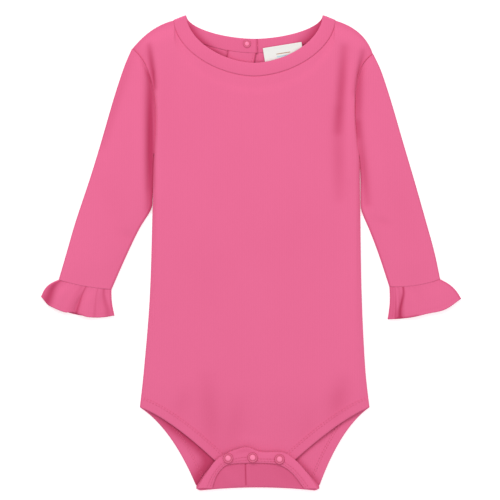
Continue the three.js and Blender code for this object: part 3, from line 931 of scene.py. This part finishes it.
@dataclass
class BackPanel:
    """The back, its leg hems, the fold at the crotch and the flap, as one cloth."""

    fold_left: float = -53.4
    fold_right: float = 59.6
    fold_y: float = -213.7
    fold_middle: float = 3
    fold_half: float = 56
    fold_drop: float = 3.2
    corner_rise: float = 2.6
    corner: tuple[float, float] = (50.5, 57.5)
    leg_bows: tuple[tuple[float, float], ...] = ((-76, -161), (79, -161))
    leg_share: float = 0.25
    hem: LegHem = LegHem(width=9.4, step=0.5)
    # Painted shade of the back's inside: under the body, and a little lighter in the leg openings; darkest
    # is the lowest value allowed.
    shaded_inside_tone: float = 0.87
    shaded_leg_tone: float = 0.94
    leg_top: float = -130
    leg_shades: tuple[LegShade, ...] = (LegShade(1.0, 6.2, 9.3), LegShade(0.6, 2.2, 3.3))
    darkest: float = 0.1
    flap_rows: tuple[tuple[float, ...], ...] = (
        (0, -53.4, 59.6), (0.4, -45.6, 49.4), (0.75, -36.6, 39.4), (0.92, -30, 32.5), (1, -23, 25))
    turn_share: float = 0.16
    # Painted shade of the fold where the back turns up, and of the flap.
    shaded_turn_tone: float = 0.78
    shaded_flap_tone: float = 0.70
    flap_top: float = -185.5
    flap_rise: float = 3.4
    flap_crown: float = 0.25
    back_flat: tuple[float, float] = (215, 440)
    flap_flat: tuple[float, float] = (118, 45)
    creases: list[Crease] = field(default_factory=lambda: [
        Crease((-8.6, -186), (-7.6, -222), 0.7, -0.5, 0.75),
        Crease((-5.6, -194), (-5.2, -217), 2.2, 0.2, -0.03),
        Crease((-30, -199), (-14, -213), 5.0, 0.35, -0.04),
        Crease((20, -200), (38, -212), 6.0, -0.35, 0.06),
    ])

    legs: dict[bool, list[Vector]] = field(init=False)
    front_hems: dict[bool, list[Vector]] = field(init=False)
    flap_sides: dict[bool, list[Vector]] = field(init=False)

    def __post_init__(self) -> None:
        """Samples the leg openings, the front's hems and the flap's sides."""
        self.legs = both_legs(self.leg, 40)
        self.front_hems = both_legs(FrontPanel().leg, 30)
        self.flap_sides = {right: self._flap_side(2 if right else 1) for right in (False, True)}

    def _flap_side(self, column: int) -> list[Vector]:
        """Points along one side of the flap, below its rounded top."""
        low, middle, high = (
            Vector((row[column], lerp(self.fold_y, self.flap_top, row[0]))) for row in self.flap_rows[:3])
        lower = [low.lerp(middle, share / 4) for share in range(4)]
        return lower + [middle.lerp(high, share / 4) for share in range(5)]

    def fold_line(self, x: float) -> float:
        """Height on the page of the line where the back turns up."""
        off = abs(x - self.fold_middle)
        corner = self.corner_rise * smooth(off, *self.corner) ** 2
        return self.fold_y - self.fold_drop * (off / self.fold_half) ** 2 + corner

    def leg(self, right: bool, share: float) -> Vector:
        """Leg opening of the back, from the hip to the fold."""
        x = self.fold_right if right else self.fold_left
        return bowed(CUT.hip(right), self.leg_bows[1 if right else 0], (x, self.fold_line(x)), share)

    def lower(self, share: float) -> Vector:
        """Lower edge of the back with its leg openings."""
        if share < self.leg_share:
            return self.leg(False, share / self.leg_share)
        if share > 1 - self.leg_share:
            return self.leg(True, (1 - share) / self.leg_share)
        x = lerp(self.fold_left, self.fold_right, (share - self.leg_share) / (1 - 2 * self.leg_share))
        return Vector((x, self.fold_line(x)))

    def back_surface(self, u: float, v: float) -> ClothPoint:
        """Cloth point of the back on the floor, seen from its inside."""
        x, y = CUT.patch(self.lower, NECK_SEAM.back, u, v)
        rise = self.hem.rise(self.hem.distance(x, y, self.legs))
        right = x >= 0
        if y < self.leg_top:
            gaps = (nearest(x, y, side[x > 0]) for side in (self.front_hems, self.flap_sides))
            tone = self.shaded_leg_tone - self.leg_shades[1 if right else 0].at(y, *gaps)
        else:
            tone = self.shaded_inside_tone - INSIDE_NECK_SHADE * NECK_SHADOW.at(x, y)
        return ClothPoint(x, y, BACK_Z + rise, max(tone, self.darkest))

    def flap_surface(self, u: float, v: float) -> ClothPoint:
        """Cloth point of the turned part: round the fold, then up to the flap's edge."""
        if v < self.turn_share:
            x = lerp(self.fold_left, self.fold_right, u)
            radius = (FLAP_Z - BACK_Z) / 2
            angle = math.pi * v / self.turn_share
            y = self.fold_line(x) - radius * math.sin(angle)
            return ClothPoint(x, y, BACK_Z + radius * (1 - math.cos(angle)), self.shaded_turn_tone)
        share = (v - self.turn_share) / (1 - self.turn_share)
        high = next(i for i, row in enumerate(self.flap_rows) if i > 0 and row[0] >= share - 1e-9)
        below, above = self.flap_rows[high - 1], self.flap_rows[high]
        part = (share - below[0]) / (above[0] - below[0])
        x = lerp(lerp(below[1], above[1], part), lerp(below[2], above[2], part), u)
        top = self.flap_top + self.flap_rise * (1 - (2 * u - 1) ** 2)
        y = lerp(self.fold_line(lerp(self.fold_left, self.fold_right, u)), top, share)
        height, shade = creased(self.creases, x, y)
        crown = self.flap_crown * arch(u) * arch(min(1.0, share + 0.1))
        return ClothPoint(x, y, FLAP_Z + height + crown, self.shaded_flap_tone - shade)

    def build(self, wardrobe: Wardrobe) -> ClothPiece:
        """Builds and dresses the back and its flap, and gives the flap."""
        back = ClothPiece("back_cloth", 110, 130, self.back_surface)
        back.dress(wardrobe.knit, Slot.KNIT, "back_panel")
        rows = self.hem.rows(both_legs(self.leg, 50))
        stitches = Stitching("back_leg_hem_stitches")
        back.stitches.append(stitches.sew(rows, Footing([back.obj]), wardrobe.thread))
        back.declare(self.back_flat)
        flap = ClothPiece("crotch_flap_cloth", 200, 60, self.flap_surface)
        flap.dress(wardrobe.knit, Slot.KNIT)
        flap.declare(self.flap_flat)
        return flap


@dataclass
class FlapBand:
    """The inverted-U hem of the crotch flap with its two rows of stitches."""

    rows: tuple[tuple[float, ...], ...] = (
        (-52.6, -216.4, -38.8, -216.6), (-45.4, -204.5, -34.6, -204.6), (-35.6, -191.0, -26.6, -195.8),
        (-25.2, -184.4, -18, -193.9), (-9, -178.6, -8, -193.5), (5, -182.7, 4, -193.3),
        (27.2, -184.0, 18, -194.1), (38.2, -191.2, 26.6, -196.8), (48.4, -202.4, 35.6, -203.7),
        (59.0, -217.0, 45.6, -216.8))
    z: float = FLAP_Z + 1.05
    crown: float = 0.55
    waves: float = 41
    ripple: float = 0.5
    ripple_fade: float = 2.2
    # Stitch rows: shares across the band, each with the depth of the painted shade in its groove;
    # stitch_groove is that shade's half width.
    stitch_rows: tuple[tuple[float, float], ...] = ((0.62, 0.2), (0.82, 0.16))
    stitch_groove: float = 0.04
    # Place of the painted shade of a wrinkle above the middle snap: x in millimetres, u as a share across
    # the band.
    wrinkle_x: float = -10
    wrinkle_u: float = 0.2
    flat: tuple[float, float] = (13, 165)

    def surface(self, u: float, v: float) -> ClothPoint:
        """Cloth point of the band; u runs from its free edge to its inner line."""
        outer_x, outer_y, inner_x, inner_y = spline(self.rows, v)
        ripple = self.ripple * math.sin(v * self.waves) * math.exp(-u * self.ripple_fade) * arch(v) ** 2
        x = lerp(outer_x, inner_x, u)
        y = lerp(outer_y, inner_y, u) + 0.5 * ripple
        crown = self.crown * arch(min(1.0, u * 1.02)) ** 0.6
        # Painted shade along both edges of the band, in the groove of each stitch row, and in a wrinkle
        # above the middle snap.
        edges = 0.12 * bell(u, 0.06) + 0.2 * bell(1 - u, 0.07)
        groove_shades = sum(depth * bell(u - share, self.stitch_groove) for share, depth in self.stitch_rows)
        wrinkle = 0.22 * bell(x - self.wrinkle_x, 9) * bell(u - self.wrinkle_u, 0.16)
        return ClothPoint(x, y, self.z + crown + 0.35 * ripple, 0.97 - edges - groove_shades - wrinkle)

    def build(self, wardrobe: Wardrobe) -> ClothPiece:
        """Builds and dresses the band."""
        piece = ClothPiece("flap_band_cloth", 14, 150, self.surface, wall=TRIM)
        piece.dress(wardrobe.knit, Slot.KNIT, "flap_band")
        lines = []
        for share, _ in self.stitch_rows:
            points = [self.surface(share, lerp(0.02, 0.98, step / 90)) for step in range(91)]
            lines.append([Vector((point.x, point.y, 0)) for point in points])
        stitches = Stitching("flap_band_stitches")
        piece.stitches.append(stitches.sew(lines, Footing([piece.obj]), wardrobe.thread))
        piece.declare(self.flat)
        return piece


# ---------------------------------------------------------------- sleeves and cuffs


EDGE_TURN = 0.04  # share of a ring that each folded edge takes up
UPPER = (0.5, 1 - EDGE_TURN)  # shares of a ring between which its upper layer lies


def tube_ring(section: Sequence[float], around: float, edge: float,
              rise: Callable[[float], float]) -> ClothPoint:
    """Place on one flattened ring of a sleeve or a cuff.

    Args:
        section: Outer x and y, inner x and y, and the bow's x and y.
        around: Place round the ring, from 0 to 1.
        edge: Radius of the two folded edges.
        rise: Extra height of the upper layer for a place across it.

    Returns:
        The cloth point, without any tone.
    """
    outer, inner, bow = section[0:2], section[2:4], section[4:6]
    inset = (edge + KNIT / 2) / (Vector(outer) - Vector(inner)).length
    half_ring = 0.5 - EDGE_TURN

    def spot(across: float) -> Vector:
        """Place on the ring's middle line."""
        return bowed(outer, bow, inner, lerp(inset, 1 - inset, across))

    def fold(end: float, angle: float) -> ClothPoint:
        """Place round the folded edge at an end of the middle line."""
        way = spot(end) - spot(lerp(end, 0.5, 0.1))
        place = spot(end) + way.normalized() * edge * math.sin(angle)
        return ClothPoint(place.x, place.y, BACK_Z + edge * (1 - math.cos(angle)))

    if around < half_ring:
        place = spot(around / half_ring)
        return ClothPoint(place.x, place.y, BACK_Z)
    if around < 0.5:
        return fold(1, math.pi * (around - half_ring) / EDGE_TURN)
    if around < 1 - EDGE_TURN:
        across = 1 - (around - 0.5) / half_ring
        place = spot(across)
        return ClothPoint(place.x, place.y, BACK_Z + 2 * edge + rise(across))
    return fold(0, math.pi * (1 - around) / EDGE_TURN)


@dataclass
class Sleeve:
    """A long set-in sleeve, a flattened tube from the armhole to the cuff seam."""

    name: str
    node: str
    rows: tuple[tuple[float, ...], ...]
    creases: list[Crease]
    edge: float = 1.0
    dome: float = 2.6
    squareness: float = 2.6
    edge_shade: float = 0.3
    least: float = 1.0
    flat: tuple[float, float] = (190, 240)

    def surface(self, u: float, v: float) -> ClothPoint:
        """Cloth point; u goes round the tube and v down the arm."""
        dome = self.dome * smooth(v, 0, 0.08) * (1 - 0.5 * smooth(v, 0.88, 1))
        point = tube_ring(spline(self.rows, v), u, self.edge,
                          lambda across: dome * (1 - abs(2 * across - 1) ** self.squareness))
        upper = UPPER[0] < u < UPPER[1]
        height, shade = creased(self.creases, point.x, point.y)
        seams = 0.04 * (1 - smooth(v, 0, 0.015)) + 0.015 * (1 - smooth(1 - v, 0, 0.02))
        # Painted shade: the creases, and the lower layer where it shows at the folded edges; the two seams
        # get darker lines.
        tone = 1.0 - shade - seams - (0.0 if upper else self.edge_shade)
        if not upper:
            return ClothPoint(point.x, point.y, point.z, tone)
        z = max(point.z + height * smooth(v, 0, 0.03), BACK_Z + self.least)
        return ClothPoint(point.x, point.y, z, tone)

    def build(self, wardrobe: Wardrobe) -> None:
        """Builds and dresses the sleeve."""
        piece = ClothPiece(self.name, 100, 130, self.surface, ringed=True)
        piece.dress(wardrobe.knit, Slot.KNIT, self.node)
        piece.declare(self.flat)


@dataclass(frozen=True)
class Fold:
    """A ridge or, with a negative height, a trough that runs from a cuff's seam to its hem."""

    middle: float
    half: float
    height: float

    @property
    def shade(self) -> float:
        """Painted shade in its middle: a trough is painted deeper, and a ridge painted a little lighter."""
        return (0.05 if self.height < 0 else -0.02) * abs(self.height)


@dataclass(frozen=True)
class Dart:
    """A line of painted shade along a gather on a cuff, from a share across its seam to one across its hem.
    """

    start: float
    end: float
    half: float
    depth: float

    def shade(self, across: float, down: float) -> float:
        """Shade at a place on the cuff."""
        middle = lerp(self.start, self.end, smooth(down, 0, 0.8))
        return self.depth * bell(across - middle, self.half * lerp(0.5, 1.0, down))


@dataclass
class CuffRuffle:
    """A gathered cuff that flares from its seam to a rippled, narrow-hemmed edge."""

    name: str
    node: str
    seam: tuple[float, ...]
    hem: tuple[float, ...]
    folds: tuple[Fold, ...]
    darts: tuple[Dart, ...]
    waves: tuple[tuple[float], ...]
    bulge: tuple[float, float]
    # Turned: shares across and depth of the painted shade where the hem turns under.
    turned: tuple[float, float, float]
    edge: float = 1.0
    edge_shade: float = 0.3
    gathers: float = 61
    flat: tuple[float, float] = (150, 34)

    def surface(self, u: float, v: float) -> ClothPoint:
        """Cloth point; u goes round the cuff and v from its seam to its hem."""
        section = [lerp(a, b, v) for a, b in zip(self.seam, self.hem)]
        section[0] += self.bulge[0] * arch(v)
        section[1] += 0.9 * abs(self.bulge[0]) * arch(v)
        section[2] += self.bulge[1] * arch(v)
        point = tube_ring(section, u, self.edge, lambda across: self._rise(across, v))
        across = 1 - (u - 0.5) / (0.5 - EDGE_TURN)
        upper = UPPER[0] < u < UPPER[1]
        shade = self._shade(across, v) if upper else self.edge_shade
        # Painted shade between the gathers near the seam; the seam and the hem's stitching get darker
        # lines.
        gather = 0.05 * (1 - smooth(v, 0, 0.3)) * (0.5 + 0.5 * math.sin(across * self.gathers))
        lines = 0.05 * bell(v, 0.04) + 0.04 * bell(v - 0.86, 0.03)
        scallop = smooth(v, 0.3, 1) * spline(self.waves, across)[0]
        tone = 0.96 - shade - gather - lines
        return ClothPoint(point.x, point.y - scallop, max(point.z, BACK_Z), tone)

    def _rise(self, across: float, down: float) -> float:
        """Height of the upper layer over the folded edges."""
        total = lerp(1.3, 0.9, down) * (1 - abs(2 * across - 1) ** 2.6)
        for fold in self.folds:
            grown = fold.height * lerp(0.04, 1, smooth(down, 0, 0.6))
            total += grown * bell(across - fold.middle, fold.half)
        return total * (1 - abs(2 * across - 1) ** 8)

    def _shade(self, across: float, down: float) -> float:
        """Shade of the folds, the darts and the hem where it turns under."""
        shade = sum(fold.shade * bell(across - fold.middle, fold.half) for fold in self.folds)
        shade += sum(dart.shade(across, down) for dart in self.darts)
        first, last, depth = self.turned
        window = smooth(across, first, first + 0.1) * (1 - smooth(across, last - 0.05, last))
        return shade + depth * smooth(down, 0.9, 1) * window

    def build(self, wardrobe: Wardrobe) -> None:
        """Builds and dresses the cuff."""
        piece = ClothPiece(self.name, 180, 36, self.surface, wall=TRIM, ringed=True)
        piece.dress(wardrobe.knit, Slot.KNIT, self.node)
        piece.declare(self.flat)


# ---------------------------------------------------------------- neck


@dataclass
class Neckband:
    """One strip round the neck, turned over at its two tips, lapped at the back opening."""

    top_end: float = 2.5
    under_end: float = -17.0
    tip_turn: float = 0.045
    tip_shares: tuple[float, ...] = (0.2, 0.26, 0.72, 0.78)
    tip_lean: tuple[float, float] = (0.34, 0.94)
    lap: float = 1.2
    lap_fade: tuple[float, float] = (0.25, 0.6)
    crown: float = 0.75
    # Painted shade: the front half a little darker than the lit cloth, the back half inside the neck
    # deeper, and the strip's first end darker still.
    front_tone: float = 0.95
    shaded_back_tone: float = 0.87
    end_shade: float = 0.55
    flat: tuple[float, float] = (14, 400)

    def _back_angle(self, x: float) -> float:
        """Angle on the back half at which the free edge crosses x."""
        share = (abs(x) / NECK_EDGE.half) ** (NECK_EDGE.squareness / 2)
        return math.acos(math.copysign(share, x))

    def _angle(self, share: float) -> float:
        """Angle for a share of the strip, slower where it turns over at the tips."""
        turn = self.tip_turn
        angles = (self._back_angle(self.top_end), math.pi - turn, math.pi + turn, 2 * math.pi - turn,
                  2 * math.pi + turn, 2 * math.pi + self._back_angle(self.under_end))
        stops = list(zip((0.0, *self.tip_shares, 1.0), angles))
        for (low, first), (high, last) in zip(stops, stops[1:]):
            if share <= high:
                return lerp(first, last, (share - low) / (high - low))
        return angles[-1]

    def surface(self, u: float, v: float) -> ClothPoint:
        """Cloth point; u runs from the seam to the free edge and v along the strip."""
        angle = self._angle(v)
        over_left = smooth(angle, math.pi - self.tip_turn, math.pi + self.tip_turn)
        over_right = smooth(angle, 2 * math.pi - self.tip_turn, 2 * math.pi + self.tip_turn)
        turn = math.pi * (over_left - over_right)
        in_front = turn > 2
        radius = (FRONT_Z - BACK_Z) / 2
        edge, seam = NECK_EDGE.point(angle), NECK_SEAM.point(angle)
        side = -1 if angle < 1.5 * math.pi else 1
        reach = radius * math.sin(turn) * lerp(0.25, 1.0, u) * (1 - 0.4 * smooth(u, 0.75, 1))
        place = seam.lerp(edge, u) + Vector((side * self.tip_lean[0], self.tip_lean[1])) * reach
        lap_from, lap_to = (self._back_angle(self.top_end) + fade for fade in self.lap_fade)
        z = BACK_Z + self.lap * (1 - smooth(angle, lap_from, lap_to)) + radius * (1 - math.cos(turn))
        z += NECK_RISE.at(seam.x, seam.y) if turn > 0 else 0.0
        z += self.crown * arch(min(1.0, lerp(0.1, 1, u))) ** 0.7 * (0.8 if in_front else 0.35)
        # Painted shade: a line along the front half's seam, and on the back half the shadow of the front's
        # neckband.
        if in_front:
            tone = self.front_tone - 0.04 * bell(u, 0.04)
        else:
            tone = self.shaded_back_tone - INSIDE_NECK_SHADE * NECK_SHADOW.at(*place)
        return ClothPoint(place.x, place.y, z, tone - self.end_shade * bell(v, 0.003))

    def build(self, wardrobe: Wardrobe) -> ClothPiece:
        """Builds and dresses the neckband."""
        piece = ClothPiece("neckband_cloth", 12, 300, self.surface)
        piece.dress(wardrobe.knit, Slot.KNIT, "neckband")
        piece.declare(self.flat)
        return piece


@dataclass
class BackPlacket:
    """Facing of the back opening, on the inside of the back."""

    bottom: float = 134
    left: float = -24.5
    right: float = 1.5
    drift: float = -9
    seam_clear: float = 0.05
    turned: float = 0.25
    stitch_inset: float = 0.1
    flat: tuple[float, float] = (27, 50)

    def surface(self, u: float, v: float) -> ClothPoint:
        """Cloth point of the facing, with a raised turned edge on each side."""
        straight = lerp(self.left, self.right, u)
        x = straight + self.drift * (1 - v)
        y = lerp(self.bottom, NECK_SEAM.back_y(straight) - self.seam_clear, v)
        turned = self.turned * (bell(u, 0.05) + bell(1 - u, 0.05))
        # Painted shade: the facing lies in shade inside the back, darker along both edges of the opening
        # and under the front's neckband.
        slit_shade = bell(u - 0.99, 0.035) + bell(u - 0.01, 0.035)
        tone = 0.88 - 0.7 * slit_shade - 0.5 * NECK_SHADOW.at(x, y)
        return ClothPoint(x, y, LINER_Z + turned, tone)

    def build(self, wardrobe: Wardrobe) -> None:
        """Builds and dresses the facing and its two rows of stitches."""
        piece = ClothPiece("back_placket_cloth", 70, 40, self.surface, wall=0.8)
        piece.dress(wardrobe.knit, Slot.KNIT, "back_placket")
        lines = []
        for share in (self.stitch_inset, 1 - self.stitch_inset):
            ends = [self.surface(share, end) for end in (0.02, 0.98)]
            lines.append([Vector((point.x, point.y, 0)) for point in ends])
        stitches = Stitching("placket_stitches", width=0.45)
        piece.stitches.append(stitches.sew(lines, Footing([piece.obj]), wardrobe.thread))
        piece.declare(self.flat)


@dataclass
class NeckLabel:
    """Woven label inside the back neck."""

    x: float = 27.5
    y: float = 178.4
    width: float = 36
    height: float = 26
    turn: float = 0.16
    clear: float = 0.1
    side_curl: float = 0.35
    top_curl: float = 0.25

    def surface(self, u: float, v: float) -> ClothPoint:
        """Cloth point of the label, its top edge folded and its sides a little curled."""
        place = Vector(((u - 0.5) * self.width, (v - 0.5) * self.height))
        place.rotate(Matrix.Rotation(self.turn, 2))
        curl = self.side_curl * abs(2 * u - 1) ** 6 + self.top_curl * smooth(v, 0.88, 1)
        return ClothPoint(self.x + place.x, self.y + place.y, LINER_Z + self.clear + curl)

    def build(self, wardrobe: Wardrobe) -> None:
        """Builds and dresses the label."""
        piece = ClothPiece("neck_label_cloth", 30, 24, self.surface, wall=0.5)
        piece.dress(wardrobe.label, Slot.LABEL, "neck_label")
        piece.declare((self.width, self.height))


# ---------------------------------------------------------------- snaps


@dataclass
class Snap:
    """Round cap of a snap: a rolled rim, a groove and a domed middle."""

    node: str
    x: float
    y: float
    radius: float = 4.75
    clear: float = 0.05
    steps: int = 48
    weld: float = 0.0005
    profile: tuple[tuple[float, float], ...] = (
        (0.0, 0.36), (0.2, 0.355), (0.42, 0.31), (0.56, 0.23), (0.62, 0.13), (0.68, 0.12), (0.76, 0.2),
        (0.86, 0.24), (0.95, 0.17), (1.0, 0.06), (0.99, 0.0), (0.9, -0.03), (0.0, -0.03))
    # Painted shade across the cap, from its middle out: lit on the dome, deep in the groove and darkest at
    # the edge.
    shade_tones: tuple[tuple[float, ...], ...] = (
        (1.0,), (1.0,), (1.0,), (0.97,), (0.9,), (0.3,), (0.42,), (0.5,), (0.0,))

    def build(self, wardrobe: Wardrobe, footing: Footing) -> None:
        """Spins the cap's profile and rests it on the cloth."""
        z = footing.top(self.x, self.y) + self.clear
        shape = bmesh.new()
        points = [shape.verts.new((r * self.radius, 0, h * self.radius)) for r, h in self.profile]
        edges = [shape.edges.new(pair) for pair in zip(points, points[1:])]
        bmesh.ops.spin(shape, geom=[*points, *edges], cent=(0, 0, 0), axis=(0, 0, 1), angle=2 * math.pi,
                       steps=self.steps, use_merge=True)
        bmesh.ops.remove_doubles(shape, verts=shape.verts, dist=self.weld)
        bmesh.ops.recalc_face_normals(shape, faces=shape.faces)
        tone = shape.verts.layers.float.new("tone")
        for vert in shape.verts:
            vert[tone] = spline(self.shade_tones, vert.co.xy.length / self.radius)[0]
            vert.co = metres(Vector((vert.co.x + self.x, vert.co.y + self.y, vert.co.z + z)))
        obj = placed(self.node + "_cap", shape)
        obj.data.materials.append(wardrobe.snap)
        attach(obj, BODY)
        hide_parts(self.node)
        log.info("%s: %d faces", obj.name, len(obj.data.polygons))


# ---------------------------------------------------------------- studio


@dataclass
class Studio:
    """White floor, soft lights and the camera straight above."""

    aim: tuple[float, float] = (-4.1, 2.7)
    span: float = 0.46
    height: float = 1.6
    floor_half: float = 3.0
    floor_z: float = -0.0005
    sky: float = 0.62
    lamps: tuple[tuple[str, tuple[float, float, float], float, float], ...] = (
        ("key", (-0.5, 1.3, 1.5), 1.2, 19.0),
        ("fill", (0.9, -0.6, 1.6), 1.6, 7.0),
    )

    def build(self) -> None:
        """Builds the whole studio."""
        self._floor()
        self._lights()
        self._camera()

    def _floor(self) -> None:
        """Plain white floor just under the cloth."""
        shape = bmesh.new()
        bmesh.ops.create_grid(shape, x_segments=2, y_segments=2, size=self.floor_half)
        floor = placed("floor", shape)
        floor.location.z = self.floor_z
        floor.data.materials.append(StudioWhite().material())

    def _lights(self) -> None:
        """A big soft light from the head side, a weaker one opposite, and an even sky."""
        for name, place, size, power in self.lamps:
            light = bpy.data.lights.new(name, "AREA")
            light.size = size
            light.energy = power
            lamp = bpy.data.objects.new(name, light)
            lamp.location = place
            lamp.rotation_euler = (-Vector(place)).to_track_quat("-Z", "Y").to_euler()
            bpy.context.scene.collection.objects.link(lamp)
        world = bpy.data.worlds.new("studio")
        world.use_nodes = True
        background = world.node_tree.nodes["Background"]
        background.inputs["Color"].default_value = (1, 1, 1, 1)
        background.inputs["Strength"].default_value = self.sky
        bpy.context.scene.world = world
        bpy.context.scene.view_settings.view_transform = "Standard"

    def _camera(self) -> None:
        """Parallel camera that looks straight down."""
        data = bpy.data.cameras.new("camera")
        data.type = "ORTHO"
        data.ortho_scale = self.span
        camera = bpy.data.objects.new("camera", data)
        camera.location = metres(Vector((*self.aim, 0))) + Vector((0, 0, self.height))
        bpy.context.scene.collection.objects.link(camera)
        bpy.context.scene.camera = camera


# ---------------------------------------------------------------- the pieces that come in pairs


def sleeves() -> list[Sleeve]:
    """The two sleeves; a row holds outer x and y, inner x and y, and the bow's x and y."""
    left_rows = (
        (-112.3, 187.8, -92.9, 88, -83.95, 165), (-119.5, 171.5, -93.4, 78, -93, 139),
        (-129, 143, -93.6, 66, -105, 112), (-141.5, 100.5, -93.9, 50, -115, 78),
        (-151.5, 68, -95.4, 39.5, -123, 55), (-164.5, 29, -106, 22, -135, 26),
        (-173.2, -1, -117.6, -2, -145, -1), (-180.2, -24.8, -131.5, -33.6, -156, -32.4))
    right_rows = (
        (109.0, 182.6, 96.7, 88, 81.95, 165), (116.6, 166.5, 97.6, 78, 92, 139),
        (125.5, 139.5, 97.9, 66, 105, 112), (136.6, 102.1, 97.8, 50, 114, 78),
        (147.2, 66.5, 98.6, 38.5, 121, 54), (157.6, 30, 106.2, 20, 131, 25),
        (165.8, 0, 114.2, -1, 139, -1), (170.8, -24.2, 123.9, -31, 149, -32.4))
    left_creases = [
        Crease((-95.4, 176), (-95.6, 34), 4.3, -3.0, 1.0),
        Crease((-99, 164), (-98, 60), 4.0, -0.6, 0.18),
        Crease((-114, 182), (-140, 100), 4.5, 0.2, 0.20),
        Crease((-104, 178), (-96, 158), 1.5, -0.4, 0.25),
        Crease((-106, 150), (-106, 60), 7.0, 0.8, -0.03),
        Crease((-122, 18), (-112, 13), 5.0, -0.6, 0.05),
        Crease((-135, 60), (-122, 20), 11.0, -0.5, 0.03),
        Crease((-128, 160), (-140, 100), 10.0, -0.4, 0.02),
    ]
    right_creases = [
        Crease((97.0, 184), (94, 108), 4.6, -2.0, 0.62),
        Crease((95.5, 118), (103.5, 46), 4.2, -2.1, 0.48),
        Crease((110, 120), (118, 50), 8.0, 0.7, -0.03),
        Crease((112, 30), (124, 26), 4.5, -0.6, 0.06),
        Crease((130, 70), (142, 10), 12.0, -0.5, 0.03),
    ]
    return [
        Sleeve("sleeve_left_cloth", "sleeve_left", left_rows, left_creases),
        Sleeve("sleeve_right_cloth", "sleeve_right", right_rows, right_creases),
    ]


def cuffs() -> list[CuffRuffle]:
    """The two gathered cuffs, with their own hem lines and folds."""
    left = CuffRuffle(
        name="cuff_left_cloth",
        node="cuff_ruffle_left",
        seam=(-180.2, -24.8, -131.5, -33.6, -156, -32.4),
        hem=(-196.4, -40.4, -128.2, -57.6, -172, -63.0),
        folds=(Fold(0.08, 0.06, -1.6), Fold(0.24, 0.08, 1.4), Fold(0.42, 0.08, 0.8),
               Fold(0.53, 0.035, -1.8), Fold(0.66, 0.08, 1.4), Fold(0.86, 0.06, -1.2)),
        darts=(Dart(0.0, 0.08, 0.085, 0.75), Dart(0.52, 0.55, 0.02, 0.55), Dart(0.44, 0.47, 0.09, 0.18),
               Dart(0.76, 0.78, 0.02, 0.25), Dart(0.88, 0.95, 0.045, 0.42)),
        waves=((0.0,), (2.1,), (1.7,), (1.3,), (0.7,), (-1.5,), (-0.4,), (0.8,), (0.9,), (0.7,), (0.0,)),
        bulge=(-2.4, -1.0),
        turned=(0.5, 0.68, 0.4),
    )
    right = CuffRuffle(
        name="cuff_right_cloth",
        node="cuff_ruffle_right",
        seam=(170.8, -24.2, 123.9, -31, 149, -32.4),
        hem=(190.2, -42.2, 122.0, -61.2, 164, -59.4),
        folds=(Fold(0.3, 0.2, 0.8), Fold(0.66, 0.07, 0.9), Fold(0.85, 0.035, -2.0), Fold(0.9, 0.02, 0.8),
               Fold(0.95, 0.02, -0.8)),
        darts=(Dart(0.76, 0.875, 0.036, 0.9), Dart(0.92, 0.925, 0.012, 0.5), Dart(0.97, 0.97, 0.04, 0.25)),
        waves=((0.0,), (2.0,), (0.3,), (0.4,), (0.0,)),
        bulge=(2.0, 1.2),
        turned=(0.58, 0.94, 0.6),
    )
    return [left, right]


CROTCH_SNAPS = (("left", -24.3, -188.9), ("middle", -1.7, -188.3), ("right", 23.1, -189.8))


def main() -> None:
    """Builds the bodysuit piece by piece, then the studio."""
    logging.basicConfig(level=logging.INFO, format="%(message)s")
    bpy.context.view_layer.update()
    wardrobe = Wardrobe.stocked()
    Studio().build()
    flap = BackPanel().build(wardrobe)
    FrontPanel().build(wardrobe)
    for tube in (*sleeves(), *cuffs()):
        tube.build(wardrobe)
    neckband = Neckband().build(wardrobe)
    BackPlacket().build(wardrobe)
    NeckLabel().build(wardrobe)
    flap_band = FlapBand().build(wardrobe)
    flap_footing = Footing([flap_band.obj, flap.obj])
    for side, x, y in CROTCH_SNAPS:
        Snap(f"crotch_snap_{side}", x, y).build(wardrobe, flap_footing)
    Snap("neck_snap", -6.9, 192.5, radius=3.7).build(wardrobe, Footing([neckband.obj]))


if __name__ == "__main__":
    main()
